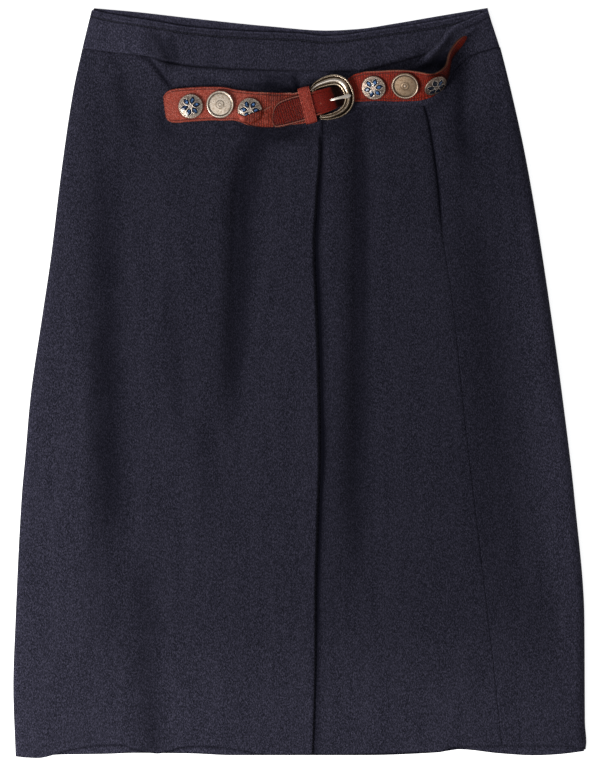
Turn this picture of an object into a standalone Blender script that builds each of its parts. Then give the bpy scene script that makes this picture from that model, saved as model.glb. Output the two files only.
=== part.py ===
# A knee-length wrap skirt laid flat, face up, fastened by its own two-part leather belt.
# X is across the skirt, Y runs towards the waist, Z is up from the surface it lies on.
# Every size below is in millimetres; the last step of each piece turns it into metres.

import math

import bmesh
import bpy
from mathutils import Matrix, Vector

MM = 0.001

# Driving dimensions
CLOTH = 1.2            # wall of a single layer of cloth
BAND = 1.8             # wall of a doubled waistband
GAP = 0.3              # air between neighbouring pieces
BACK_BAND = 33.0       # finished height of the back waistband
SIDE_ROUND = 9.0       # radius over which a front panel rolls down to the side fold
PUFF = 4.0             # how high the front cloth stands over the layer below
LEATHER = 2.2          # belt leather
BELT_ANGLE = 18.0      # tilt of the belt at the buckle, in degrees
BAR_X, BAR_Y, BAR_Z = 15.5, 261.9, 8.8   # middle of the buckle's bar
BAR_RADIUS = 1.6
BAR_LENGTH = 28.0
PRONG_RADIUS = 1.1
FRAME_HEIGHT = 4.8     # height of the buckle frame's section
FRAME_EDGE = 1.5       # rounding of the frame's edges

# Heights of the stacked layers' undersides
ON_BACK = CLOTH + GAP                    # a front panel on the back panel
ON_BACK_BAND = BAND + GAP                # the under waistband on the back waistband
ON_UNDER = ON_BACK + CLOTH + GAP         # the over-panel on the under-panel
ON_UNDER_BAND = ON_BACK_BAND + BAND + GAP
OVER_STEP = (86.0, 100.0)   # x between which the over layer climbs on to the under waistband

# Outline: x against y for the side folds, y against x for the waist and the hem
LEFT_SIDE = [  # y, x
    (-350.8, -266.7), (-286.1, -269.0), (-223.2, -267.1), (-110.4, -261.3), (-67.1, -258.2),
    (-15.4, -253.2), (63.5, -241.6), (115.2, -233.8), (199.8, -223.5), (273.2, -212.7),
    (313.8, -203.4), (352.1, -194.4)]
RIGHT_SIDE = [  # y, x
    (-345.8, 267.9), (-337.8, 268.8), (-320.0, 267.4), (-223.2, 266.7), (-110.0, 256.6),
    (-16.4, 246.3), (76.7, 233.8), (151.0, 223.0), (215.8, 210.4), (269.4, 199.7),
    (317.3, 187.1), (352.1, 177.0)]
BACK_WAIST = [  # x, y
    (-195.0, 352.1), (-156.0, 348.4), (-102.5, 341.8), (-30.1, 334.5), (25.2, 330.5),
    (54.0, 332.1), (90.0, 337.7), (126.0, 343.9), (177.0, 352.4)]
BACK_HEM = [  # x, y
    (-267.0, -350.8), (-256.8, -352.3), (-246.3, -352.3), (-231.6, -349.1), (-156.0, -347.2),
    (-102.5, -348.5), (-66.2, -350.0), (61.1, -349.6), (129.4, -347.2), (149.3, -344.2),
    (188.9, -348.2), (220.9, -350.0), (242.5, -349.0), (268.0, -345.8)]
FRONT_WAIST = [  # x, y: the under waistband's top edge, a little below the back's
    (-194.2, 350.2), (-183.3, 347.4), (-142.9, 340.8), (-103.4, 334.3), (-56.4, 330.5),
    (0.0, 328.2), (23.5, 325.8), (78.0, 332.4), (131.6, 340.8), (173.9, 349.3)]
FRONT_SEAM = [  # x, y: where the under waistband is sewn to its panel
    (-203.4, 314.0), (-178.6, 310.8), (-141.0, 306.1), (-126.9, 301.4), (-94.0, 296.7),
    (-28.2, 293.8), (51.7, 292.9), (84.6, 299.4), (117.5, 308.4), (150.4, 313.5),
    (180.0, 317.0)]
FRONT_HEM = [  # x, y
    (-266.7, -350.8), (-246.3, -352.1), (-231.2, -349.0), (-189.9, -347.3), (-181.4, -340.2),
    (-169.2, -340.2), (-154.2, -345.4), (-133.5, -348.5), (-122.2, -341.1), (-94.0, -341.1),
    (-61.1, -344.4), (-28.2, -349.1), (11.3, -349.1), (89.3, -347.2), (129.7, -346.3),
    (145.7, -342.1), (188.0, -340.5), (268.0, -340.2)]
OVER_TOP = [  # x, y: the drooping top edge of the over waistband, left to right
    (22.0, 279.0), (47.0, 287.3), (70.5, 291.9), (96.8, 294.8), (108.1, 299.5), (115.6, 306.1),
    (125.0, 314.5), (132.5, 322.0), (138.2, 331.4), (145.7, 336.1), (159.8, 341.8),
    (176.7, 350.2)]
OVER_SEAM = [  # x, y: where the over waistband is sewn to its panels
    (20.7, 254.4), (47.0, 258.1), (75.2, 260.9), (96.8, 260.0), (116.6, 260.0), (124.1, 263.8),
    (136.3, 276.9), (145.7, 293.8), (159.8, 306.1), (188.0, 315.5)]
WRAP_EDGE = [  # y, x: the over-panel's free edge, from the hem up
    (-350.1, 11.3), (-227.9, 14.1), (-101.0, 16.9), (-16.4, 19.7), (68.2, 17.9), (152.8, 15.0),
    (195.1, 16.0), (237.4, 18.8), (262.0, 18.4)]
RIGHT_SEAM = [  # y, x: the seam between the over-panel's two pieces
    (-343.5, 189.9), (-262.6, 181.4), (-149.8, 168.3), (-37.0, 155.1), (77.6, 142.9),
    (141.6, 133.5), (188.6, 129.3), (245.0, 120.7), (262.0, 116.0)]

# The largest folds: a centre line with its depth at each height, negative in a trough
FOLDS = {
    # name: (width to the left, width to the right, [(y, x, depth), ...])
    "hip fold": (13.0, 13.0, [
        (-60.0, -63.0, 0.0), (-16.0, -63.0, -2.0), (70.0, -60.0, -4.0), (155.0, -57.0, -4.0),
        (209.0, -51.0, -3.6), (242.0, -34.0, -2.2), (262.0, -30.0, 0.0)]),
    "side sweep": (30.0, 24.0, [
        (-180.0, -176.0, 0.0), (-130.0, -178.0, -2.4), (-54.0, -180.0, -3.4),
        (50.0, -182.0, -3.0), (185.0, -184.0, -1.4), (240.0, -176.0, 0.0)]),
    "lower left fold": (18.0, 18.0, [
        (-352.0, -133.0, -3.0), (-240.0, -139.0, -2.0), (-160.0, -146.0, 0.0)]),
    "left crest": (26.0, 22.0, [
        (-352.0, -70.0, 1.4), (-150.0, -80.0, 1.2), (60.0, -115.0, 1.4), (200.0, -105.0, 1.0),
        (250.0, -100.0, 0.0)]),
    "wrap fold": (11.0, 11.0, [
        (-150.0, 54.0, 0.0), (-110.0, 54.0, -3.0), (20.0, 55.0, -4.0), (209.0, 57.0, -3.6),
        (240.0, 54.0, -2.0), (256.0, 53.0, 0.0)]),
    "seam crease": (5.0, 5.0, [
        (120.0, 137.0, 0.0), (141.6, 133.5, -0.6), (188.6, 129.3, -1.2), (245.0, 120.7, -1.2),
        (262.0, 116.0, -0.4)]),
    "right hollow": (24.0, 26.0, [
        (-250.0, 206.0, 0.0), (-150.0, 200.0, -2.0), (0.0, 192.0, -3.0), (150.0, 172.0, -2.4),
        (230.0, 158.0, -1.6), (270.0, 150.0, 0.0)]),
    "right crest": (16.0, 16.0, [
        (-230.0, 240.0, 0.0), (-120.0, 234.0, 1.4), (80.0, 216.0, 1.4), (150.0, 208.0, 0.0)]),
}
# How much of its full height the cloth has at each height of the skirt
WAIST_FADE = [  # y, share
    (-352.0, 0.75), (-250.0, 1.0), (150.0, 1.0), (250.0, 0.75), (296.0, 0.45), (330.0, 0.1),
    (352.0, 0.0)]
SET_BACK = 1.5         # the under-panel is all the way down this far before the over-panel's edge
EDGE_ROLL = 6.0        # the over-panel rolls up to its full height over this width
SEAM_REACH = 36.0      # the waist seam holds the over-panel down this far below it
TUCKED = 10.0          # the under layer stops this far inside the right side fold
# How far the under-panel takes to roll down before it goes under the over-panel
WRAP_ROLL = [(-352.0, 7.0), (245.0, 7.0), (285.0, 70.0), (352.0, 90.0)]  # y, width

# Rows of a front panel as shares of its length from the hem, closer together under the belt
PANEL_ROWS = (0.0, 0.07, 0.14, 0.21, 0.28, 0.35, 0.42, 0.49, 0.56, 0.63, 0.7, 0.77, 0.83, 0.87,
              0.9, 0.925, 0.945, 0.965, 0.985, 1.0)
BACK_ROWS = [row / 14 for row in range(15)]
BAND_ROWS = (0.0, 0.5, 1.0)

# The point of the over waistband's top edge that lies across from each point of its seam
BAND_ACROSS = [  # x on the seam, x on the top edge
    (20.7, 22.0), (47.0, 47.0), (75.2, 70.5), (116.6, 96.8), (136.3, 109.0), (145.7, 122.0),
    (159.8, 140.0), (188.0, 176.7)]
BAND_SHARES = (0.0, 0.28, 0.52, 0.72, 0.86, 1.0)   # rows across the over waistband
# The soft ridge that the over waistband rolls into where it droops
RIDGE_HEIGHT, RIDGE_AT, RIDGE_WIDTH = 4.5, 0.86, 0.14   # at and width as shares of the band
DROOP_START, DROOP_END = (109.0, 124.0), (140.0, 165.0)
# Where the buckle and its keeper press the cloth flat
PRESS_MIDDLE, PRESS_LENGTH, PRESS_WIDTH = -6.0, 34.0, 26.0   # middle from the bar, half sizes
PRESS_FADE = (0.85, 1.6)                                     # shares of those half sizes

# Belt straps, station by station along the middle line
LEFT_STRAP = [  # x, y, half width, least height of the underside
    (-127.4, 258.8, 9.0, 0.0), (-125.8, 259.0, 12.2, 0.0), (-122.8, 259.2, 14.7, 0.0),
    (-118.6, 259.6, 15.8, 0.0), (-107.0, 260.7, 16.1, 0.0), (-94.0, 261.6, 16.1, 0.0),
    (-82.0, 262.0, 15.9, 0.0), (-70.0, 261.5, 15.7, 0.0), (-61.0, 260.5, 14.6, 0.0),
    (-55.4, 259.7, 14.8, 5.0), (-46.0, 257.4, 15.9, 5.8), (-35.0, 256.8, 15.9, 6.4),
    (-22.0, 256.5, 15.6, 6.8), (-9.0, 257.2, 15.0, 7.2)]
LEFT_STRAP_END = [  # from the bar, across, half width, height of the underside
    (-17.0, 1.0, 15.0, 7.5), (-12.0, 0.8, 14.8, 8.5), (-8.0, 0.5, 14.0, 9.8),
    (-4.6, 0.0, 11.8, 10.7), (0.0, 0.0, 11.4, 10.7)]
TURN_STEPS = (60.0, 30.0, 0.0, -30.0, -60.0, -90.0)   # angles of the turn round the bar
TURNED_END = [(-5.0, 11.6), (-18.0, 13.0)]            # from the bar, half width
BILLET = [  # from the bar, across, half width, height of the underside
    (-44.9, -6.4, 2.0, 9.6), (-44.2, -4.9, 3.9, 9.6), (-43.2, -4.2, 5.4, 9.6),
    (-41.0, -2.1, 8.2, 9.6), (-36.4, 0.0, 11.0, 9.7), (-32.0, 0.6, 12.0, 9.7),
    (-27.0, 0.7, 12.4, 9.8), (-17.0, 0.4, 12.6, 10.1), (-12.0, 0.1, 12.4, 11.1),
    (-8.0, -0.1, 12.1, 12.4), (-4.6, -0.1, 11.6, 13.3), (0.0, 0.0, 11.4, 13.4),
    (10.2, 0.0, 11.0, 13.3), (16.0, 0.2, 10.4, 11.3), (20.0, 0.4, 9.7, 7.9),
    (23.5, 0.6, 9.4, 5.5), (28.0, 1.0, 9.8, 5.2), (33.0, 1.5, 10.7, 5.2)]
RIGHT_STRAP = [  # x, y, half width, tilt in degrees
    (53.0, 276.4, 12.8, 0.0), (60.0, 277.9, 13.8, 10.0), (73.1, 278.7, 14.6, 21.0),
    (88.1, 278.9, 15.7, 26.0), (103.1, 278.7, 15.5, 28.0), (110.5, 278.4, 15.0, 30.0),
    (116.5, 278.8, 14.2, 34.0), (121.5, 279.8, 13.7, 40.0), (126.0, 282.1, 12.5, 47.0),
    (129.8, 284.8, 11.1, 53.0), (132.7, 287.7, 10.5, 60.0), (135.3, 291.1, 9.5, 66.0),
    (137.3, 295.4, 7.9, 72.0), (138.6, 300.1, 6.9, 76.0), (139.5, 304.3, 6.8, 75.0),
    (141.9, 309.4, 7.6, 72.0), (145.7, 315.1, 6.9, 67.0), (149.6, 319.8, 5.7, 62.0),
    (152.9, 323.5, 3.4, 58.0), (154.6, 325.3, 1.6, 57.0)]
STRAP_LIFT = 0.45      # a strap's underside over the cloth that it lies on
ACROSS = (1.0, 0.6, 0.2, -0.2, -0.6, -1.0)   # shares of a strap's half width
PIERCED_FROM = 10.2                           # where the billet's prong hole starts, from the bar
SLOT_BEFORE, SLOT_AFTER = 2, 3                # the prong's slot, in stations before and in the turn
PIERCED_COLUMN = 2                            # the middle one of the cells across a strap

BUCKLE_FRAME = [  # from the bar, across, width of the metal
    (-1.6, 13.0, 3.6), (1.6, 14.6, 5.6), (6.0, 16.3, 7.6), (12.0, 17.0, 9.4), (19.0, 16.8, 10.4),
    (25.4, 14.8, 10.4), (29.8, 10.4, 10.2), (31.6, 4.6, 9.9), (31.8, -1.6, 9.7),
    (30.0, -7.4, 9.5), (26.0, -12.2, 8.8), (19.6, -15.2, 7.8), (12.6, -15.9, 6.8),
    (5.6, -15.3, 5.6), (-1.2, -13.4, 3.6)]
FRAME_TILT = -3.5      # the frame's outer end stands a little higher than its bar
PRONG = [  # from the bar, across, height
    (-1.5, 0.0, 11.8), (7.0, 0.0, 11.8), (10.8, 0.0, 12.1), (13.2, -0.1, 14.4),
    (15.6, -0.4, 16.6), (21.0, -1.2, 16.8), (27.0, -1.9, 15.4), (31.8, -2.4, 14.3)]
KEEPER_AT, KEEPER_ACROSS, KEEPER_TURN = -8.6, 1.0, -4.0   # its middle and its turn
KEEPER_LENGTH = 11.0   # along the belt
KEEPER_HALF = 17.1     # half its outer width
KEEPER_BOTTOM, KEEPER_TOP, KEEPER_WALL = 3.0, 17.1, 1.3
KEEPER_CORNER = 2.4

# Conchos: profiles turned round the post that holds them, radius against height
FLOWER_CONCHO = [(0.0, 4.4), (4.0, 4.1), (8.0, 3.1), (10.2, 2.1), (11.4, 1.7), (11.4, 0.9),
                 (4.0, 0.8), (4.0, 0.0), (0.0, 0.0)]
PLAIN_CONCHO = [(0.0, 3.2), (2.2, 3.2), (3.0, 2.5), (9.8, 2.1), (10.8, 2.4), (11.7, 3.4),
                (12.8, 2.4), (12.8, 1.0), (4.0, 0.8), (4.0, 0.0), (0.0, 0.0)]
CONCHOS = [  # name, profile, strap, where along x it is fixed, how far off the middle line
    ("concho_1_flower", FLOWER_CONCHO, "left", -102.8, -1.8),
    ("concho_2_plain", PLAIN_CONCHO, "left", -75.0, -0.7),
    ("concho_3_flower", FLOWER_CONCHO, "left", -47.0, -2.0),
    ("concho_4_flower", FLOWER_CONCHO, "right", 69.8, -0.8),
    ("concho_5_plain", PLAIN_CONCHO, "right", 98.9, 1.2),
    ("concho_6_flower", FLOWER_CONCHO, "right", 124.9, -0.2)]
TURNED_STEPS = 20      # sides of a turned piece

NAVY = (0.022, 0.026, 0.048)
RED_LEATHER = (0.26, 0.055, 0.030)
OLD_SILVER = (0.52, 0.47, 0.39)


def along(table, at, column=1):
    """A column of a table at a value of its first column, on a smooth line through its rows."""
    rows = sorted(table)
    keys = [row[0] for row in rows]
    vals = [row[column] for row in rows]
    if at <= keys[0]:
        return vals[0]
    if at >= keys[-1]:
        return vals[-1]
    i = max(k for k in range(len(keys) - 1) if keys[k] <= at)
    slope = [(vals[k + 1] - vals[k]) / (keys[k + 1] - keys[k]) for k in range(len(keys) - 1)]

    def tangent(k):
        if k in (0, len(keys) - 1):
            return slope[min(k, len(slope) - 1)]
        before, after = slope[k - 1], slope[k]
        return 2 * before * after / (before + after) if before * after > 0 else 0.0

    span = keys[i + 1] - keys[i]
    t = (at - keys[i]) / span
    return ((2 * t ** 3 - 3 * t ** 2 + 1) * vals[i] + (t ** 3 - 2 * t ** 2 + t) * span * tangent(i)
            + (3 * t ** 2 - 2 * t ** 3) * vals[i + 1] + (t ** 3 - t ** 2) * span * tangent(i + 1))


def roll(distance, radius):
    """0 at an edge, 1 a radius inside it, on a quarter round."""
    t = min(max(distance / radius, 0.0), 1.0)
    return math.sqrt(1.0 - (1.0 - t) ** 2)


def smooth(low, high, value):
    t = min(max((value - low) / (high - low), 0.0), 1.0)
    return t * t * (3.0 - 2.0 * t)


# Heights of the cloth

def folds(x, y):
    total = 0.0
    for left, right, rows in FOLDS.values():
        away = x - along(rows, y)
        total += along(rows, y, 2) * math.exp(-(away / (left if away < 0 else right)) ** 2)
    return total


def pressed(x, y):
    """How far the buckle and its keeper press the cloth flat: 1 under them, 0 away from them."""
    away = math.hypot((x - BAR_X - PRESS_MIDDLE) / PRESS_LENGTH, (y - BAR_Y) / PRESS_WIDTH)
    return 1.0 - smooth(*PRESS_FADE, away)


def under_puff(x, y):
    """How high the under layer stands over what it lies on."""
    left = roll(x - along(LEFT_SIDE, y), SIDE_ROUND)
    wrap = roll(along(WRAP_EDGE, y) - SET_BACK - x, along(WRAP_ROLL, y))
    body = (PUFF + folds(x, y)) * along(WAIST_FADE, y) * (1.0 - pressed(x, y))
    return max(body, 0.0) * left * wrap


def under_height(x, y):
    """Underside of the left front panel."""
    return ON_BACK + under_puff(x, y)


def under_band_height(x, y):
    """Underside of the under waistband."""
    return ON_BACK_BAND + under_puff(x, y)


def over_base(x):
    """The over layer lies on the under-panel, and to the right on the under waistband."""
    return ON_UNDER + (ON_UNDER_BAND - ON_UNDER) * smooth(*OVER_STEP, x)


def over_height(x, y):
    """Underside of the over-panel's two pieces."""
    side = roll(along(RIGHT_SIDE, y) - x, SIDE_ROUND)
    edge = roll(x - along(WRAP_EDGE, y), EDGE_ROLL)
    near_seam = 1.0 - smooth(0.0, SEAM_REACH, along(OVER_SEAM, x) - y)
    body = (PUFF + folds(x, y)) * along(WAIST_FADE, y) * (1.0 - near_seam)
    base = ON_UNDER + (over_base(x) - ON_UNDER) * near_seam
    return ON_BACK + (base - ON_BACK + max(body, 0.0) * (1.0 - pressed(x, y)) * edge) * side


def over_band_height(x, y, share):
    """Underside of the over waistband; share is 0 at its seam and 1 at its top edge."""
    side = roll(along(RIGHT_SIDE, y) - x, SIDE_ROUND)
    droop = smooth(*DROOP_START, x) * (1.0 - smooth(*DROOP_END, x))
    ridge = RIDGE_HEIGHT * droop * math.exp(-((share - RIDGE_AT) / RIDGE_WIDTH) ** 2)
    return ON_BACK_BAND + (over_base(x) + ridge - ON_BACK_BAND) * side


# Blender helpers

def finish(name, color, roughness, metallic=0.0):
    material = bpy.data.materials.new(name)
    material.use_nodes = True
    shader = material.node_tree.nodes["Principled BSDF"]
    shader.inputs["Base Color"].default_value = (*color, 1.0)
    shader.inputs["Roughness"].default_value = roughness
    shader.inputs["Metallic"].default_value = metallic
    return material


def add_object(name, mesh, material):
    mesh.materials.append(material)
    mesh.shade_smooth()
    mesh.set_sharp_from_angle(angle=math.radians(40))
    made = bpy.data.objects.new(name, mesh)
    bpy.data.collections["wrap_skirt"].objects.link(made)
    return made


def grid_mesh(name, points, missing):
    """A sheet through rows of points, without the cells named by their row and column."""
    rows, columns = len(points), len(points[0])
    sheet = bmesh.new()
    bmesh.ops.create_grid(sheet, x_segments=columns - 1, y_segments=rows - 1, size=1.0)
    order = sorted(sheet.verts, key=lambda v: (round(v.co.y, 4), round(v.co.x, 4)))
    cells = {}
    for face in sheet.faces:
        middle = face.calc_center_median()
        cells[(int((middle.y + 1.0) / 2.0 * (rows - 1)),
               int((middle.x + 1.0) / 2.0 * (columns - 1)))] = face
    for index, vertex in enumerate(order):
        vertex.co = Vector(points[index // columns][index % columns]) * MM
    bmesh.ops.delete(sheet, geom=[cells[cell] for cell in missing], context="FACES")
    mesh = bpy.data.meshes.new(name)
    sheet.to_mesh(mesh)
    sheet.free()
    return mesh


def wall(name, points, thickness, material, missing=()):
    """A sheet of cloth or leather: its rows of points are the underside, the wall stands on it."""
    made = add_object(name, grid_mesh(name, points, missing), material)
    solid = made.modifiers.new("wall", "SOLIDIFY")
    solid.thickness = thickness * MM
    solid.offset = 1.0
    return made


def curve_mesh(name, curve):
    """A mesh from a curve, with its caps welded on."""
    holder = bpy.data.objects.new(name, curve)
    bpy.data.collections["wrap_skirt"].objects.link(holder)
    bpy.context.view_layer.update()
    evaluated = holder.evaluated_get(bpy.context.evaluated_depsgraph_get())
    mesh = bpy.data.meshes.new_from_object(evaluated)
    welded = bmesh.new()
    welded.from_mesh(mesh)
    bmesh.ops.remove_doubles(welded, verts=welded.verts, dist=0.00001)
    bmesh.ops.recalc_face_normals(welded, faces=welded.faces)
    welded.to_mesh(mesh)
    welded.free()
    bpy.data.objects.remove(holder)
    return mesh


def add_line(curve, points, cyclic):
    line = curve.splines.new("POLY")
    line.points.add(len(points) - 1)
    for point, place in zip(line.points, points):
        point.co = (*(Vector(place) * MM), 1.0)
    line.use_cyclic_u = cyclic


# Cloth panels

def beside(table, offset=0.0):
    """A grid line that runs beside a fold or an edge."""
    return lambda y: along(table, y) + offset


def between(first, second, share):
    return lambda y: first(y) + share * (second(y) - first(y))


def panel(top, hem, lines, rows, height):
    """Rows of points from the hem up: lines give x at a height, top and hem give y."""
    points = []
    for share in rows:
        across = []
        for line in lines:
            y = hem(0.0) + share * (top(0.0) - hem(0.0))
            for _ in range(6):
                x = line(y)
                y = hem(x) + share * (top(x) - hem(x))
            across.append((x, y, height(x, y)))
        points.append(across)
    return points


def curve_of(table, offset=0.0):
    return lambda at: along(table, at) + offset


def back_lines():
    left, right = beside(LEFT_SIDE), beside(RIGHT_SIDE)
    return [between(left, right, step / 16) for step in range(17)]


def under_lines():
    side, sweep = beside(LEFT_SIDE), beside(FOLDS["side sweep"][2])
    hip, wrap = FOLDS["hip fold"][2], WRAP_EDGE
    rolled = [beside(LEFT_SIDE, offset) for offset in (0.0, 1.2, 3.6, 9.0)]
    swept = [between(side, sweep, 0.55), sweep, beside(FOLDS["side sweep"][2], 24.0)]
    middle = [between(swept[-1], beside(hip, -22.0), share) for share in (0.33, 0.66)]
    folded = [beside(hip, offset) for offset in (-22.0, -12.0, -6.0, 0.0, 6.0, 12.0)]
    edge = [beside(wrap, offset - SET_BACK) for offset in (-7.0, -4.0, -1.5, 0.0)]
    shoulder = [between(folded[-1], edge[0], 0.5)]
    hidden = [between(edge[-1], beside(RIGHT_SIDE, -TUCKED), share) for share in (0.3, 0.65, 1.0)]
    return rolled + swept + middle + folded + shoulder + edge + hidden


def centre_lines():
    fold = FOLDS["wrap fold"][2]
    edge = [beside(WRAP_EDGE, offset) for offset in (0.0, 1.0, 3.0, 6.0)]
    folded = [beside(fold, offset) for offset in (-20.0, -10.0, -5.0, 0.0, 5.0, 10.0, 20.0)]
    seam = [beside(RIGHT_SEAM, offset) for offset in (-10.0, -4.0, -GAP)]
    middle = [between(folded[-1], seam[0], 0.5)]
    return edge + folded + middle + seam


def side_lines():
    seam = [beside(RIGHT_SEAM, offset) for offset in (GAP, 4.0)]
    rolled = [beside(RIGHT_SIDE, -offset) for offset in (9.0, 3.6, 1.2, 0.0)]
    middle = [between(seam[-1], rolled[0], share) for share in (0.2, 0.4, 0.6, 0.8)]
    return seam + middle + rolled


def add_back(cloth):
    seam = curve_of(BACK_WAIST, -BACK_BAND)
    flat = lambda x, y: 0.0
    wall("back_panel", panel(curve_of(BACK_WAIST, -BACK_BAND - GAP), curve_of(BACK_HEM),
                             back_lines(), BACK_ROWS, flat), CLOTH, cloth)
    wall("back_waistband", panel(curve_of(BACK_WAIST), seam, back_lines(), BAND_ROWS, flat), BAND, cloth)


def add_under_layer(cloth):
    lines = under_lines()
    wall("left_front_panel", panel(curve_of(FRONT_SEAM, -GAP), curve_of(FRONT_HEM), lines,
                                   PANEL_ROWS, under_height), CLOTH, cloth)
    wall("under_waistband", panel(curve_of(FRONT_WAIST), curve_of(FRONT_SEAM), lines, BAND_ROWS,
                                  under_band_height), BAND, cloth)


def add_over_layer(cloth):
    top, hem = curve_of(OVER_SEAM, -GAP), curve_of(FRONT_HEM)
    centre = panel(top, hem, centre_lines(), PANEL_ROWS, over_height)
    side = panel(top, hem, side_lines(), PANEL_ROWS, over_height)
    wall("over_panel_centre", centre, CLOTH, cloth)
    wall("over_panel_side", side, CLOTH, cloth)
    seam_line = [x for x, _, _ in centre[-1][1:-1] + side[-1]]
    points = []
    for share in BAND_SHARES:
        across = []
        for low_x in seam_line:
            high_x = along(BAND_ACROSS, low_x)
            x = low_x + share * (high_x - low_x)
            low_y = along(OVER_SEAM, low_x)
            y = low_y + share * (along(OVER_TOP, high_x) - low_y)
            across.append((x, y, over_band_height(x, y, share)))
        points.append(across)
    wall("over_waistband", points, BAND, cloth)


# Belt

def belt_point(out, across, height):
    """A place measured from the middle of the bar, along and across the belt."""
    turn = math.radians(BELT_ANGLE)
    return Vector((BAR_X + out * math.cos(turn) - across * math.sin(turn),
                   BAR_Y + out * math.sin(turn) + across * math.cos(turn), height))


def belt_side():
    """Across the belt at the buckle, towards the waist."""
    turn = math.radians(BELT_ANGLE)
    return Vector((-math.sin(turn), math.cos(turn), 0.0))


def side_at(places, index):
    """Across a strap at one of its stations, square to its middle line."""
    before, after = places[max(index - 1, 0)], places[min(index + 1, len(places) - 1)]
    run = (after - before).normalized()
    return Vector((-run.y, run.x, 0.0))


def strap_rows(stations):
    """Rows of points across a strap from (middle, across, half width) stations."""
    return [[tuple(middle + side * half * share) for share in ACROSS]
            for middle, side, half in stations]


def left_strap_stations():
    places = [Vector((x, y, 0.0)) for x, y, _, _ in LEFT_STRAP]
    stations = []
    for index, (x, y, half, least) in enumerate(LEFT_STRAP):
        side = side_at(places, index)
        under = [places[index] + side * half * share for share in ACROSS]
        height = max(under_height(p.x, p.y) for p in under) + CLOTH + STRAP_LIFT
        stations.append((Vector((x, y, max(height, least))), side, half))
    for out, across, half, height in LEFT_STRAP_END:
        stations.append((belt_point(out, across, height), belt_side(), half))
    return stations


def add_left_strap(leather):
    """The left strap, turned round the bar and slotted for the prong."""
    stations = left_strap_stations()
    slotted = range(len(stations) - SLOT_BEFORE, len(stations) + SLOT_AFTER)
    inner = BAR_RADIUS + GAP
    half = LEFT_STRAP_END[-1][2]
    for angle in TURN_STEPS:
        turn = math.radians(angle)
        stations.append((belt_point(inner * math.cos(turn), 0.0, BAR_Z + inner * math.sin(turn)),
                         belt_side(), half))
    for out, end_half in TURNED_END:
        stations.append((belt_point(out, 0.0, BAR_Z - inner), belt_side(), end_half))
    wall("belt_left_strap", strap_rows(stations), LEATHER, leather,
         missing=[(row, PIERCED_COLUMN) for row in slotted])


def right_strap_stations():
    stations = [(belt_point(out, across, height), belt_side(), half)
                for out, across, half, height in BILLET]
    places = [Vector((x, y, 0.0)) for x, y, _, _ in RIGHT_STRAP]
    for index, (x, y, half, tilt) in enumerate(RIGHT_STRAP):
        lean = math.radians(tilt)
        flat_side = side_at(places, index)
        side = flat_side * math.cos(lean) + Vector((0.0, 0.0, math.sin(lean)))
        height = over_base(x) + BAND + STRAP_LIFT + half * math.sin(lean)
        stations.append((Vector((x, y, height)), side, half))
    return stations


def add_right_strap(leather):
    stations = right_strap_stations()
    pierced = [row for row, (out, _, _, _) in enumerate(BILLET) if out == PIERCED_FROM]
    wall("belt_right_strap", strap_rows(stations), LEATHER, leather,
         missing=[(row, PIERCED_COLUMN) for row in pierced])


def add_keeper(leather):
    """A leather loop round the left strap and the billet."""
    middle, half_height = (KEEPER_BOTTOM + KEEPER_TOP) / 2, (KEEPER_TOP - KEEPER_BOTTOM) / 2
    curve = bpy.data.curves.new("keeper", "CURVE")
    curve.dimensions = "2D"
    curve.fill_mode = "BOTH"
    curve.extrude = KEEPER_LENGTH / 2 * MM
    for inset in (0.0, KEEPER_WALL):
        add_line(curve, rounded_outline(KEEPER_HALF - inset, half_height - inset,
                                        KEEPER_CORNER - inset), True)
    mesh = curve_mesh("keeper", curve)
    turn = Matrix.Rotation(math.radians(BELT_ANGLE + KEEPER_TURN), 4, "Z")
    # The outline's x runs across the belt, its y up and its extrusion along the belt
    upright = Matrix(((0, 0, 1, 0), (1, 0, 0, 0), (0, 1, 0, 0), (0, 0, 0, 1)))
    place = belt_point(KEEPER_AT, KEEPER_ACROSS, middle) * MM
    mesh.transform(Matrix.Translation(place) @ turn @ upright)
    add_object("belt_keeper", mesh, leather)


def rounded_outline(half_width, half_height, radius, steps=3):
    points = []
    for corner in range(4):
        sign_x = 1 if corner in (0, 3) else -1
        sign_y = 1 if corner < 2 else -1
        for step in range(steps + 1):
            turn = math.radians(90.0 * corner + 90.0 * step / steps)
            points.append((sign_x * (half_width - radius) + radius * math.cos(turn),
                           sign_y * (half_height - radius) + radius * math.sin(turn), 0.0))
    return points


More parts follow.
